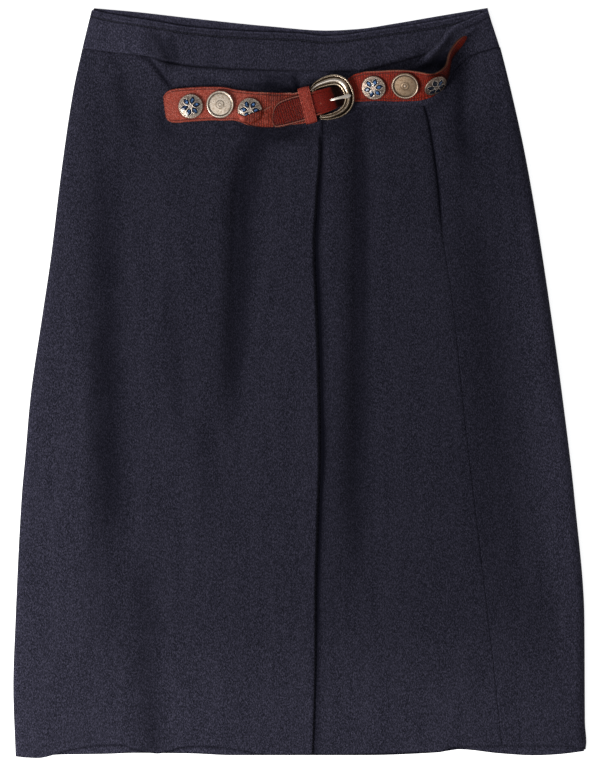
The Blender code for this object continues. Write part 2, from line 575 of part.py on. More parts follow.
def add_buckle(silver):
    """A horseshoe frame cast in one piece with its bar."""
    places = [Vector((out, across, 0.0)) for out, across, _ in BUCKLE_FRAME]
    outer, inner = [], []
    for index, (_, _, width) in enumerate(BUCKLE_FRAME):
        side = side_at(places, index)
        outer.append(places[index] + side * width / 2)
        inner.append(places[index] - side * width / 2)
    curve = bpy.data.curves.new("buckle", "CURVE")
    curve.dimensions = "2D"
    curve.fill_mode = "BOTH"
    curve.offset = -FRAME_EDGE * MM
    curve.extrude = (FRAME_HEIGHT / 2 - FRAME_EDGE) * MM
    curve.bevel_depth = FRAME_EDGE * MM
    curve.bevel_resolution = 1
    add_line(curve, outer + inner[::-1], True)
    frame = add_object("buckle_frame", curve_mesh("buckle_frame", curve), silver)
    bar_mesh = bpy.data.meshes.new("bar")
    bar = bmesh.new()
    bmesh.ops.create_cone(bar, cap_ends=True, segments=12, radius1=BAR_RADIUS * MM,
                          radius2=BAR_RADIUS * MM, depth=BAR_LENGTH * MM,
                          matrix=Matrix.Rotation(math.radians(90), 4, "X"))
    bar.to_mesh(bar_mesh)
    bar.free()
    cutter = bpy.data.objects.new("bar", bar_mesh)
    bpy.data.collections["cutters"].objects.link(cutter)
    cutter.hide_render = True
    cutter.display_type = "WIRE"
    lean = Matrix.Rotation(math.radians(FRAME_TILT), 4, "Y")
    turn = Matrix.Rotation(math.radians(BELT_ANGLE), 4, "Z")
    place = Matrix.Translation(belt_point(0.0, 0.0, BAR_Z) * MM)
    frame.data.transform(place @ turn @ lean)
    bar_mesh.transform(place @ turn)
    joined = frame.modifiers.new("bar", "BOOLEAN")
    joined.operation = "UNION"
    joined.object = cutter


def add_prong(silver):
    curve = bpy.data.curves.new("prong", "CURVE")
    curve.dimensions = "3D"
    curve.bevel_depth = PRONG_RADIUS * MM
    curve.bevel_resolution = 2
    curve.use_fill_caps = True
    add_line(curve, [belt_point(*row) for row in PRONG], False)
    add_object("buckle_prong", curve_mesh("buckle_prong", curve), silver)


def add_conchos(silver):
    straps = {"left": left_strap_stations(), "right": right_strap_stations()}
    for name, profile, strap, at, off in CONCHOS:
        middle, normal = strap_place(straps[strap], at, off)
        mesh = bpy.data.meshes.new(name)
        turned = bmesh.new()
        line = [turned.verts.new(Vector((radius, 0.0, height)) * MM) for radius, height in profile]
        for first, second in zip(line, line[1:]):
            turned.edges.new((first, second))
        turned.to_mesh(mesh)
        turned.free()
        made = add_object(name, mesh, silver)
        spin = made.modifiers.new("turned", "SCREW")
        spin.steps = spin.render_steps = TURNED_STEPS
        spin.use_merge_vertices = True
        spin.merge_threshold = 0.00001
        made.location = (middle + normal * (LEATHER + GAP)) * MM
        made.rotation_euler = normal.to_track_quat("Z", "Y").to_euler()


def strap_place(stations, at, off):
    """A place on a strap, off its middle line by so much, and the way that its face looks there."""
    for (first, side, _), (second, next_side, _) in zip(stations, stations[1:]):
        if first.x <= at < second.x:
            share = (at - first.x) / (second.x - first.x)
            run = (second - first).normalized()
            across = (side + share * (next_side - side)).normalized()
            return first + share * (second - first) + off * across, run.cross(across).normalized()


def main():
    for thing in list(bpy.data.objects):
        bpy.data.objects.remove(thing)
    for name in ("wrap_skirt", "cutters"):
        bpy.context.scene.collection.children.link(bpy.data.collections.new(name))
    cloth = finish("navy_twill", NAVY, 0.9)
    leather = finish("red_leather", RED_LEATHER, 0.5)
    silver = finish("old_silver", OLD_SILVER, 0.35, 1.0)
    add_back(cloth)
    add_under_layer(cloth)
    add_over_layer(cloth)
    add_left_strap(leather)
    add_right_strap(leather)
    add_keeper(leather)
    add_buckle(silver)
    add_prong(silver)
    add_conchos(silver)


main()
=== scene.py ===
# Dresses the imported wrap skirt: cloth shells with their folds and sewing, the leather belt and its metal.
# Tables and sizes are in millimetres, x across the skirt, y towards the waist, z up from the floor.
import math

import bpy
import numpy as np
from mathutils import Matrix, Vector


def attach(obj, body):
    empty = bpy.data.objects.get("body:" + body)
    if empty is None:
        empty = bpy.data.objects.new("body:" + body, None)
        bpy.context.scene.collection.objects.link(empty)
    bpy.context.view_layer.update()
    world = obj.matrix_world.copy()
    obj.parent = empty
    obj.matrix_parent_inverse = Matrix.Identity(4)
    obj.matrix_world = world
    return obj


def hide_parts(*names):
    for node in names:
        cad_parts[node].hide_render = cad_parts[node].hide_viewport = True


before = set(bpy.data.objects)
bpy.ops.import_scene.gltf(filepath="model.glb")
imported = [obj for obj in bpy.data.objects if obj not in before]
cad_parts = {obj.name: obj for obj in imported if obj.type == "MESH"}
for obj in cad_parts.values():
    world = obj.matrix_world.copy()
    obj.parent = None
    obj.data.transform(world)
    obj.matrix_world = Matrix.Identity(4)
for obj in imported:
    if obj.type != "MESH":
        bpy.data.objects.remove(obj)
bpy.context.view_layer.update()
mm = 0.001


def hexColour(code):
    # sRGB hex to the linear colour that the shaders take
    parts = [int(code[i:i + 2], 16) / 255 for i in (1, 3, 5)]
    return tuple(p / 12.92 if p <= 0.04045 else ((p + 0.055) / 1.055) ** 2.4 for p in parts) + (1.0,)


def setInputs(tree, node, values):
    # each input by its name or number: a fixed value, or another node's output
    for name, value in values.items():
        if isinstance(value, bpy.types.NodeSocket):
            tree.links.new(value, node.inputs[name])
        else:
            node.inputs[name].default_value = value


def addNode(tree, kind, output, settings):
    # one node with its properties and inputs, as the output that goes on to the next one
    node = tree.nodes.new(kind)
    own = [name for name in settings if isinstance(name, str) and hasattr(node, name)]
    for name in own:
        setattr(node, name, settings[name])
    setInputs(tree, node, {name: value for name, value in settings.items() if name not in own})
    return node.outputs[output]


def newMaterial(name):
    material = bpy.data.materials.new(name)
    material.use_nodes = True
    return material, material.node_tree


def setShader(tree, values):
    setInputs(tree, tree.nodes["Principled BSDF"], values)


def blendRows(at, keys, values, tangents):
    # a smooth line through rows of values, with a given slope at each row
    i = np.clip(np.searchsorted(keys, at, side="right") - 1, 0, len(keys) - 2)
    span = keys[i + 1] - keys[i]
    t = (at - keys[i]) / span
    if values.ndim > 1:
        span, t = span[:, None], t[:, None]
    return ((2 * t ** 3 - 3 * t ** 2 + 1) * values[i] + (t ** 3 - 2 * t ** 2 + t) * span * tangents[i]
            + (3 * t ** 2 - 2 * t ** 3) * values[i + 1] + (t ** 3 - t ** 2) * span * tangents[i + 1])


def smoothLine(rows, column=1):
    # a column of a table as a function of its first column, on a smooth line with no overshoot
    rows = sorted(rows)
    keys = np.array([row[0] for row in rows], float)
    values = np.array([row[column] for row in rows], float)
    slopes = np.diff(values) / np.diff(keys)
    tangents = np.zeros(len(keys))
    tangents[0], tangents[-1] = slopes[0], slopes[-1]
    before, after = slopes[:-1], slopes[1:]
    same = before * after > 0
    tangents[1:-1][same] = 2 * before[same] * after[same] / (before[same] + after[same])
    return lambda at: blendRows(np.clip(np.asarray(at, float), keys[0], keys[-1]), keys, values, tangents)


def rollUp(distance, radius):
    t = np.clip(distance / radius, 0, 1)
    return np.sqrt(1 - (1 - t) ** 2)


def fade(low, high, value):
    t = np.clip((value - low) / (high - low), 0, 1)
    return t * t * (3 - 2 * t)


def bell(distance, width):
    return np.exp(-(distance / width) ** 2)


def unit(vectors):
    return vectors / np.linalg.norm(vectors, axis=-1, keepdims=True)


def lengthsAlong(points):
    # how far along its path each point lies
    return np.concatenate([[0], np.cumsum(np.linalg.norm(np.diff(points, axis=0), axis=1))])


def columnsAt(at, keys, rows):
    # every column of some rows, read off at one place or at many
    return np.array([np.interp(at, keys, column) for column in np.asarray(rows).T]).T


def softNoise(x, y, size, seed):
    # smooth uneven values from -1 to 1, about size millimetres from one rise to the next
    lattice = np.random.default_rng(seed).uniform(-1, 1, (64, 64))
    u, v = np.asarray(x, float) / size + 31.7, np.asarray(y, float) / size + 27.3
    i, j = np.floor(u).astype(int), np.floor(v).astype(int)
    a, b = u - i, v - j
    a, b = a * a * (3 - 2 * a), b * b * (3 - 2 * b)
    take = lambda k, m: lattice[k % 64, m % 64]
    return ((take(i, j) * (1 - a) + take(i + 1, j) * a) * (1 - b)
            + (take(i, j + 1) * (1 - a) + take(i + 1, j + 1) * a) * b)


def mixedNoise(x, y, table):
    # uneven values of several sizes, whose rows are height, squeeze, size and seed
    return sum(high * softNoise(x, y * squeeze, size, seed) for high, squeeze, size, seed in table)


studio = {
    "viewHeight": 719.1,      # what the picture takes in, top to bottom
    "cameraHeight": 4200.0,
    "keyEnergy": 46.0, "keyPlace": (-1350.0, -650.0, 1150.0), "keySize": 800.0,
    "fillEnergy": 30.0, "fillPlace": (0.0, 0.0, 5200.0), "fillSize": 2400.0,
    "sky": "#f4f6fa", "skyStrength": 0.30,
    "floorColour": "#f6f6f6", "floorGlow": 0.75, "floorReach": 6.0, "floorLow": -0.0002,
}


def lookAt(thing, target=(0.0, 0.0, 0.0), up="Y"):
    thing.rotation_euler = (Vector(target) - thing.location).to_track_quat("-Z", up).to_euler()


def addStudio():
    scene = bpy.context.scene
    data = bpy.data.cameras.new("camera")
    data.lens = data.sensor_width * studio["cameraHeight"] / studio["viewHeight"]
    data.clip_end = 50.0
    camera = bpy.data.objects.new("camera", data)
    camera.location = (0.0, 0.0, studio["cameraHeight"] * mm + 0.004)
    scene.collection.objects.link(camera)
    scene.camera = camera
    for name in ("key", "fill"):
        lamp = bpy.data.lights.new(name, "AREA")
        lamp.energy = studio[name + "Energy"]
        lamp.size = studio[name + "Size"] * mm
        light = bpy.data.objects.new(name, lamp)
        light.location = Vector(studio[name + "Place"]) * mm
        lookAt(light)
        scene.collection.objects.link(light)
    world = bpy.data.worlds.new("studio")
    world.use_nodes = True
    background = world.node_tree.nodes["Background"]
    background.inputs["Color"].default_value = hexColour(studio["sky"])
    background.inputs["Strength"].default_value = studio["skyStrength"]
    scene.world = world
    scene.view_settings.view_transform = "Standard"
    floorMesh = bpy.data.meshes.new("floor")
    reach, low = studio["floorReach"], studio["floorLow"]
    floorMesh.from_pydata([(-reach, -reach, low), (reach, -reach, low), (reach, reach, low),
                           (-reach, reach, low)], [], [(0, 1, 2, 3)])
    floor = bpy.data.objects.new("floor", floorMesh)
    paper, tree = newMaterial("whitePaper")   # matt paper roll, evenly lit
    white = hexColour(studio["floorColour"])
    setShader(tree, {"Base Color": white, "Roughness": 1.0, "Specular IOR Level": 0.0,
                     "Emission Color": white, "Emission Strength": studio["floorGlow"]})
    floorMesh.materials.append(paper)
    scene.collection.objects.link(floor)


addStudio()
print("studio ready")

twillLook = {
    "navy": "#1c1c27", "paleYarn": "#3c3a48", "darkYarn": "#111116", "paintedFoldShade": "#04040c",
    "fleck": 1.05,            # melange flecks of the yarn, drawn a little coarser than real ones
    "rib": 2.3,               # weave line spacing, drawn coarser than the real 0.5 mm
    "patch": 26.0,            # broad uneven patches of the dye
    "roughness": 0.92, "gloss": 0.05, "sheen": 0.03, "bump": 0.35,
}
leatherLook = {   # body, in the grain's pits, rubbed high spots
    "strap": ("#a64737", "#6c261a", "#bf7265"), "strapFar": ("#983624", "#3f0a05", "#b4604e"),
    "billet": ("#6e0f02", "#2c0300", "#8c2d1b"), "billetFar": ("#8a1d0c", "#440800", "#9e3b24"),
    "keeper": ("#943426", "#58150d", "#b0584a"),
    "crease": "#1d0806", "paleEdgeAndHighlight": "#a87a68", "grain": 1.9, "roughness": 0.5, "gloss": 0.13,
}
silverLook = {   # tones are the bright metal and its brown stain
    "buckle": ("#d0bda8", "#96805f"), "dish": ("#dfd0bf", "#b09a80"), "flower": ("#e0cfbf", "#826c5a"),
    # painted shade: darker copies of the dish and flower metal for the conchos on the tilted right strap,
    # darkest for the last one
    "dishInShade": ("#a48c73", "#775f47"), "flowerInShade": ("#bda897", "#66524a"),
    "flowerInDeepShade": ("#a18c7d", "#33261f"),
    # wearAndHighlight is the colour of rubbed bright metal and of painted highlights
    "tarnish": "#2c2118", "wearAndHighlight": "#f2e9e0",
}
plainLook = {
    # the bare cut edge of the leather: pale tan fibres, matt
    "cutLeatherEdge": {"base": "#7c4431", "over": "#8a5c44", "cloud": (0.35, 0.65), "paintedShade": "#1a0c07",
                       "scale": 0.8, "detail": 3.0, "roughness": 0.75, "gloss": 0.1},
    # cobalt-blue glass stones: clear, very glossy, with a little cloud inside
    "cobaltGlass": {"base": "#0d1833", "over": "#567fb5", "cloud": (0.42, 0.62), "paintedShade": "#060914",
                    "scale": 0.6, "detail": 2.0, "roughness": 0.2, "gloss": 0.35},
    # spun polyester sewing thread, matt with a slight twist
    "navyThread": {"base": "#20202c", "over": "#14141d", "cloud": (0.3, 0.7), "paintedShade": "#000000",
                   "scale": 2.0, "detail": 1.0, "roughness": 0.8, "gloss": 0.5},
    "brownThread": {"base": "#4a1710", "over": "#340e09", "cloud": (0.3, 0.7), "paintedShade": "#000000",
                    "scale": 2.0, "detail": 1.0, "roughness": 0.8, "gloss": 0.5},
}


def millimetres(tree, stretch=(1.0, 1.0, 1.0), turn=(0.0, 0.0, 0.0)):
    # the piece's own place in millimetres, stretched and turned for a pattern
    place = addNode(tree, "ShaderNodeTexCoord", "Object", {})
    return addNode(tree, "ShaderNodeMapping", "Vector", {
        "Scale": tuple(1000.0 * s for s in stretch), "Rotation": turn, "Vector": place})


def layColours(tree, base, layers):
    # colours over a base, each where its pattern goes from low to high, and up to its share
    asColour = lambda value: value if isinstance(value, bpy.types.NodeSocket) else hexColour(value)
    colour = asColour(base)
    for pattern, low, high, share, added in layers:
        amount = addNode(tree, "ShaderNodeMapRange", "Result", {
            "Value": pattern, "From Min": low, "From Max": high, "To Max": share})
        colour = addNode(tree, "ShaderNodeMix", 2, {
            "data_type": "RGBA", "clamp_factor": True, 0: amount, 6: colour, 7: asColour(added)})
    return colour


def makeTwill():
    # navy wool-blend twill woven from melange yarn: matt, with fine light and dark flecks
    look = twillLook
    material, tree = newMaterial("navyTwill")
    flecks = addNode(tree, "ShaderNodeTexNoise", "Fac", {
        "Scale": 1.0 / look["fleck"], "Detail": 2.0, "Roughness": 0.55,
        "Vector": millimetres(tree, (1.2, 0.62, 1.0), (0.4, 0.3, 0.6))})
    threads = addNode(tree, "ShaderNodeTexNoise", "Fac", {
        "Scale": 1.2 / look["fleck"], "Detail": 1.0,
        "Vector": millimetres(tree, (1.4, 0.5, 1.0), (0.3, 0.5, 0.9))})
    ribs = addNode(tree, "ShaderNodeTexWave", "Fac", {
        "bands_direction": "X", "Scale": 0.314 / look["rib"], "Distortion": 1.8, "Detail": 1.0,
        "Detail Scale": 0.8, "Vector": millimetres(tree, (1.0, 1.0, 0.0))})
    patches = addNode(tree, "ShaderNodeTexNoise", "Fac", {
        "Scale": 1.0 / look["patch"], "Detail": 3.0, "Vector": millimetres(tree, (2.4, 0.35, 1.0))})
    # foldShade above 0 is painted shade: it darkens the cloth towards the painted fold shade colour
    shade = addNode(tree, "ShaderNodeAttribute", "Fac", {"attribute_name": "foldShade"})
    colour = layColours(tree, look["navy"], (
        (flecks, 0.49, 0.68, 1.0, look["paleYarn"]), (flecks, 0.5, 0.34, 1.0, look["darkYarn"]),
        (threads, 0.54, 0.72, 0.5, look["paleYarn"]), (ribs, 0.2, 0.9, 0.1, look["darkYarn"]),
        (patches, 0.35, 0.65, 0.1, look["paleYarn"]), (shade, 0.0, 1.0, 1.0, look["paintedFoldShade"])))
    wearAndHighlight = addNode(tree, "ShaderNodeMapRange", "Result", {     # painted highlight: crests and edges painted paler where foldShade is below 0
        "Value": shade, "From Min": 0.0, "From Max": -1.0})
    colour = addNode(tree, "ShaderNodeMix", 2, {
        "data_type": "RGBA", "blend_type": "ADD", "clamp_factor": True, 0: wearAndHighlight, 6: colour, 7: colour})
    bump = addNode(tree, "ShaderNodeBump", "Normal", {
        "Strength": look["bump"], "Distance": 0.0004, "Height": flecks})
    setShader(tree, {"Base Color": colour, "Normal": bump, "Roughness": look["roughness"],
                     "Specular IOR Level": look["gloss"], "Sheen Weight": look["sheen"],
                     "Sheen Roughness": 0.5})
    return material


def makeLeather(name, tones, farTones=None, change=(0.0, 1.0), ribbed=(0.0, 0.0)):
    # vegetable-tanned cowhide embossed with a small reptile grain: semi-matt, darker in the pits,
    # and of another tone from one stretch of the strap to the next
    material, tree = newMaterial(name)
    grain = leatherLook["grain"]
    belt = addNode(tree, "ShaderNodeAttribute", "Vector", {"attribute_name": "beltPlace"})
    along = addNode(tree, "ShaderNodeSeparateXYZ", "X", {"Vector": belt})
    unworn = addNode(tree, "ShaderNodeMapRange", "Result", {     # the grain is worn flat inside the buckle
        "Value": along.node.outputs["Z"], "To Min": 1.0, "To Max": 0.15})
    cells = addNode(tree, "ShaderNodeTexVoronoi", "Distance", {
        "feature": "DISTANCE_TO_EDGE", "Scale": 1.0, "Randomness": 0.75,
        "Vector": addNode(tree, "ShaderNodeMapping", "Vector", {
            "Scale": (1.0 / grain, 1.3 / grain, 1.0), "Vector": belt})})
    wander = addNode(tree, "ShaderNodeTexNoise", "Fac", {
        "Scale": 0.35, "Detail": 3.0, "Roughness": 0.65, "Vector": belt})
    fine = addNode(tree, "ShaderNodeTexNoise", "Fac", {"Scale": 0.9, "Detail": 2.0, "Vector": belt})
    ribs = addNode(tree, "ShaderNodeTexWave", "Fac", {
        "bands_direction": "X", "Scale": 0.14, "Distortion": 4.2, "Detail": 3.0, "Detail Scale": 1.1,
        "Vector": belt})
    amount = addNode(tree, "ShaderNodeMapRange", "Result", {
        "Value": along, "From Min": change[0], "From Max": change[1], "To Min": ribbed[0],
        "To Max": ribbed[1]})
    pits, pale, ribs = (
        addNode(tree, "ShaderNodeMath", "Value", {"operation": "MULTIPLY", 1: unworn, 0: addNode(
            tree, "ShaderNodeMapRange", "Result", {
                "Value": pattern, "From Min": low, "From Max": high, "To Min": least, "To Max": most})})
        for pattern, low, high, least, most in (
            (cells, 0.0, 0.16, 1.0, 0.0), (wander, 0.42, 0.68, 0.0, 0.65), (ribs, 0.55, 0.2, 0.0, amount)))
    body, pit, wearAndHighlight = (layColours(tree, near, ((along, *change, 1.0, far),))
                         for near, far in zip(tones, farTones or tones))
    # foldShade on the leather: above 0 creased lines and painted shade in grooves, round the conchos and
    # where the strap dips under the buckle; below 0 the pale skived edge and painted highlights
    lines = addNode(tree, "ShaderNodeAttribute", "Fac", {"attribute_name": "foldShade"})
    colour = layColours(tree, body, (
        (pale, 0.0, 1.0, 1.0, wearAndHighlight), (fine, 0.52, 0.34, 0.7, pit), (pits, 0.0, 1.0, 0.6, pit),
        (ribs, 0.0, 1.0, 1.0, pit), (lines, 0.0, 1.0, 1.0, leatherLook["crease"]),
        (lines, 0.0, -1.0, 1.0, leatherLook["paleEdgeAndHighlight"])))
    height = fine
    for lower in (pits, ribs):
        height = addNode(tree, "ShaderNodeMath", "Value", {"operation": "SUBTRACT", 0: height, 1: lower})
    bump = addNode(tree, "ShaderNodeBump", "Normal", {
        "Strength": 0.5, "Distance": 0.0004, "Height": height})
    setShader(tree, {"Base Color": colour, "Normal": bump, "Roughness": leatherLook["roughness"],
                     "Specular IOR Level": leatherLook["gloss"]})
    return material


def makePlain(name):
    # one colour clouded with another, and the painted shade that foldShade puts on it
    look = plainLook[name]
    material, tree = newMaterial(name)
    cloud = addNode(tree, "ShaderNodeTexNoise", "Fac", {
        "Scale": look["scale"], "Detail": look["detail"], "Vector": millimetres(tree)})
    paintedShade = addNode(tree, "ShaderNodeAttribute", "Fac", {"attribute_name": "foldShade"})
    colour = layColours(tree, look["base"], (
        (cloud, *look["cloud"], 1.0, look["over"]), (paintedShade, 0.0, 1.0, 1.0, look["paintedShade"])))
    setShader(tree, {"Base Color": colour, "Roughness": look["roughness"],
                     "Specular IOR Level": look["gloss"]})
    return material


def makeSilver(name, bright, stained, grain=0.45, roughness=0.4, metallic=0.8):
    # cast alloy with antiqued silver plating: bright where it is rubbed and under painted highlights,
    # brown-black in the recesses and under painted shade
    material, tree = newMaterial(name)
    recess = addNode(tree, "ShaderNodeAttribute", "Fac", {"attribute_name": "foldShade"})
    stain = addNode(tree, "ShaderNodeTexNoise", "Fac", {
        "Scale": grain, "Detail": 4.0, "Roughness": 0.65, "Vector": millimetres(tree)})
    colour = layColours(tree, bright, (
        (stain, 0.42, 0.64, 0.85, stained), (recess, 0.0, 1.0, 1.0, silverLook["tarnish"]),
        (recess, 0.0, -1.0, 1.0, silverLook["wearAndHighlight"])))
    uneven = addNode(tree, "ShaderNodeMapRange", "Result", {
        "Value": stain, "From Min": 0.3, "From Max": 0.7, "To Min": roughness - 0.06,
        "To Max": roughness + 0.14})
    scratches = addNode(tree, "ShaderNodeTexNoise", "Fac", {
        "Scale": 1.2, "Detail": 3.0, "Vector": millimetres(tree, (0.6, 2.0, 1.0))})
    bump = addNode(tree, "ShaderNodeBump", "Normal", {
        "Strength": 0.2, "Distance": 0.0002, "Height": scratches})
    setShader(tree, {"Base Color": colour, "Normal": bump, "Roughness": uneven, "Metallic": metallic})
    return material


navyTwill = makeTwill()
strapLeather = makeLeather("redStrapLeather", leatherLook["strap"], leatherLook["strapFar"], (78.0, 92.0),
                           (0.12, 0.7))
billetLeather = makeLeather("redBilletLeather", leatherLook["billet"], leatherLook["billetFar"],
                            (80.0, 88.0), (0.75, 0.65))
keeperLeather = makeLeather("redKeeperLeather", leatherLook["keeper"])
oldSilver = makeSilver("buckleSilver", *silverLook["buckle"], 0.45, 0.27, 1.0)
dishSilver = makeSilver("dishedSilver", *silverLook["dish"])
dishSilverInShade = makeSilver("dishedSilverInShade", *silverLook["dishInShade"])
flowerSilver = makeSilver("mottledSilver", *silverLook["flower"], 0.8)
flowerSilverInShade = makeSilver("mottledSilverInShade", *silverLook["flowerInShade"], 0.8)
flowerSilverInDeepShade = makeSilver("mottledSilverInDeepShade", *silverLook["flowerInDeepShade"], 0.8)
cutLeatherEdge, cobaltGlass, navyThread, brownThread = (makePlain(name) for name in plainLook)
print("materials ready")


def finishPiece(name, vertices, faces, materials, slots=None, shade=None, place=None, sharpAngle=40.0):
    mesh = bpy.data.meshes.new(name)
    mesh.from_pydata([tuple(v) for v in np.asarray(vertices, float) * mm], [], faces)
    for material in materials:
        mesh.materials.append(material)
    if slots is not None:
        mesh.polygons.foreach_set("material_index", np.asarray(slots, np.int32))
    if shade is not None:
        values = mesh.attributes.new("foldShade", "FLOAT", "POINT")
        values.data.foreach_set("value", np.clip(np.asarray(shade, float), -1, 1).astype(np.float32))
    if place is not None:
        values = mesh.attributes.new("beltPlace", "FLOAT_VECTOR", "POINT")
        values.data.foreach_set("vector", np.asarray(place, np.float32).ravel())
    mesh.shade_smooth()
    mesh.set_sharp_from_angle(angle=math.radians(sharpAngle))
    mesh.update()
    piece = bpy.data.objects.new(name, mesh)
    bpy.context.scene.collection.objects.link(piece)
    return piece


def dress(piece, slot, *nodes):
    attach(piece, "root")
    if nodes:
        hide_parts(*nodes)
    return piece


def gridFaces(rows, columns, start=0, flip=False, closed=False, looped=False):
    # quads over a grid: closed joins its last column to the first, looped its last row
    r, c = np.meshgrid(np.arange(rows if looped else rows - 1),
                       np.arange(columns if closed else columns - 1), indexing="ij")
    r, c = r.ravel(), c.ravel()
    n, d = (r + 1) % rows, (c + 1) % columns
    quads = np.stack([r * columns + c, r * columns + d, n * columns + d, n * columns + c], 1)
    return (quads[:, ::-1 if flip else 1] + start).tolist()


def tubeFaces(rings, around, start=0, flip=False):
    # a tube of rings with a cap at each end
    caps = np.array([range(around - 1, -1, -1), range((rings - 1) * around, rings * around)]) + start
    return gridFaces(rings, around, start, flip, closed=True) + caps[:, ::-1 if flip else 1].tolist()


def shellFaces(rows, columns):
    # faces of a closed shell: its top grid, its underside grid after it, and the rim between them
    count = rows * columns
    faces = gridFaces(rows, columns) + gridFaces(rows, columns, count, flip=True)
    rim = ([c for c in range(columns)] + [r * columns + columns - 1 for r in range(1, rows)]
           + [(rows - 1) * columns + c for c in range(columns - 2, -1, -1)]
           + [r * columns for r in range(rows - 2, 0, -1)])
    for a, b in zip(rim, rim[1:] + rim[:1]):
        faces.append([b, a, a + count, b + count])
    return faces


def layCloth(name, node, x, y, under, thickness, shade):
    # a shell of cloth over grids of x, y and the height of its underside
    top = np.stack([x, y, under + thickness], 2).reshape(-1, 3)
    low = np.stack([x, y, under], 2).reshape(-1, 3)
    piece = finishPiece(name, np.concatenate([top, low]), shellFaces(*x.shape), [navyTwill],
                        shade=np.concatenate([shade.ravel(), shade.ravel() * 0.5]))
    return dress(piece, "navy_twill", node)


skirt = {
    "cloth": 1.2, "band": 1.8,     # how thick one layer is, and a waistband
    "gap": 0.3,               # between two layers that touch
    "puff": 4.0,              # air under each front layer
    "backBand": 33.0, "bandHeight": 36.0,     # the back's waistband from seam to top, and the front's
    "sideRound": 9.0,         # the front rises over this much from a folded side
    "foldInset": 1.5,         # the back stops this far inside the folded sides
    "edgeRoll": 6.0,          # the free wrap edge rolls up over this much
    "setBack": 1.5,           # the under panel is down this far before the wrap edge
    "tucked": 10.0,           # and ends this far short of the right side
    "seamReach": 36.0,        # the over panel puffs up over this much below its seam
    "rowStep": 4.2,
    "unevenness": ((0.35, 0.6, 46.0, 3), (0.16, 0.7, 17.0, 4), (0.05, 1.0, 6.0, 6)),
}
shades = {    # painted shade on each place of the cloth, or painted light where it is below 0
    "everywhere": -0.08, "middle": 0.28, "overMiddle": 0.06, "corner": -0.07, "sideLine": 0.6,
    "broadMost": 0.5, "broadSpare": 0.19,     # broad hollows stop a little past this
    "wrapRoll": 0.2, "underWrap": 0.35,
    "hem": 0.7, "hemRight": -0.45, "hemLeft": -0.4, "hemRoll": -0.12, "backHem": 0.9,
    "strip": 0.5, "stripRight": -0.3, "stripLit": -0.4,
    "backBand": -0.35, "backEdge": -0.5, "bandLeft": -0.4, "band": -0.04, "overBand": -0.05,
    "topstitch": 1.1, "overTopstitch": 0.6, "topEdge": -0.9, "overTopEdge": -0.8, "droopCrest": -0.6,
    "seam": 0.16, "openSeam": 0.5, "overWaist": 0.45, "overSeamDip": 0.9,
}
onBack = skirt["cloth"] + skirt["gap"]
onBackBand = skirt["band"] + skirt["gap"]
onUnder = onBack + skirt["cloth"] + skirt["gap"]
onUnderBand = onBackBand + skirt["band"] + skirt["gap"]

leftSide = smoothLine([  # y, x
    (-350.8, -267.6), (-286.1, -269.8), (-223.2, -267.7), (-110.4, -262.1), (-67.1, -258.3),
    (-15.4, -253.8), (63.5, -242.4), (115.2, -234.7), (199.8, -224.4), (273.2, -213.5),
    (313.8, -204.8), (352.1, -195.5)])
rightSide = smoothLine([  # y, x
    (-345.8, 268.6), (-337.8, 269.4), (-320.0, 268.1), (-223.2, 267.6), (-110.0, 258.4),
    (-16.4, 247.3), (76.7, 234.4), (151.0, 223.0), (215.8, 211.5), (269.4, 199.8),
    (317.3, 187.9), (352.1, 177.9)])
backWaist = smoothLine([  # x, y
    (-195.9, 352.2), (-156.0, 348.7), (-102.5, 342.6), (-30.1, 335.1), (25.2, 331.0),
    (54.0, 332.4), (90.0, 337.7), (126.0, 343.9), (177.0, 352.4)])
backHem = smoothLine([  # x, y
    (-267.6, -351.5), (-256.8, -353.1), (-246.3, -353.2), (-231.6, -350.2), (-181.0, -349.4),
    (-156.0, -348.5), (-102.5, -349.0), (-66.2, -350.6), (61.1, -350.6), (129.4, -348.0),
    (149.3, -345.0), (188.9, -349.0), (220.9, -350.8), (242.5, -349.8), (268.6, -346.6)])
frontWaist = smoothLine([  # x, y
    (-194.2, 350.2), (-183.3, 347.4), (-142.9, 340.8), (-103.4, 334.3), (-56.4, 330.5),
    (0.0, 328.2), (23.5, 325.8), (78.0, 332.4), (131.6, 340.8), (173.9, 349.3)])
frontSeam = smoothLine([  # x, y
    (-203.4, 314.0), (-178.6, 310.8), (-141.0, 306.1), (-126.9, 301.4), (-94.0, 296.7),
    (-28.2, 293.8), (51.7, 292.9), (84.6, 299.4), (117.5, 308.4), (150.4, 313.5),
    (180.0, 317.0)])
frontHem = smoothLine([  # x, y
    (-267.6, -351.6), (-246.3, -353.0), (-231.2, -349.9), (-218.0, -345.4), (-204.0, -342.6),
    (-189.9, -341.0), (-169.2, -340.6), (-154.2, -345.4), (-133.5, -349.0), (-122.2, -346.4),
    (-112.0, -343.0), (-99.0, -341.6), (-84.0, -342.0), (-61.1, -344.9), (-28.2, -350.0),
    (11.3, -350.1), (89.3, -348.1), (129.7, -347.1), (145.7, -342.6), (188.0, -341.0),
    (246.0, -341.2), (260.0, -343.1), (269.4, -345.2)])
overTop = smoothLine([  # x, y
    (22.0, 279.0), (47.0, 287.3), (70.5, 291.9), (96.8, 294.8), (108.1, 299.5), (115.6, 306.1),
    (125.0, 314.5), (132.5, 322.0), (138.2, 331.4), (145.7, 336.1), (159.8, 341.8),
    (176.7, 350.2)])
overSeam = smoothLine([  # x, y
    (20.7, 254.4), (47.0, 258.1), (75.2, 260.9), (96.8, 260.0), (116.6, 260.0), (124.1, 263.8),
    (136.3, 276.9), (145.7, 293.8), (159.8, 306.1), (188.0, 315.5)])
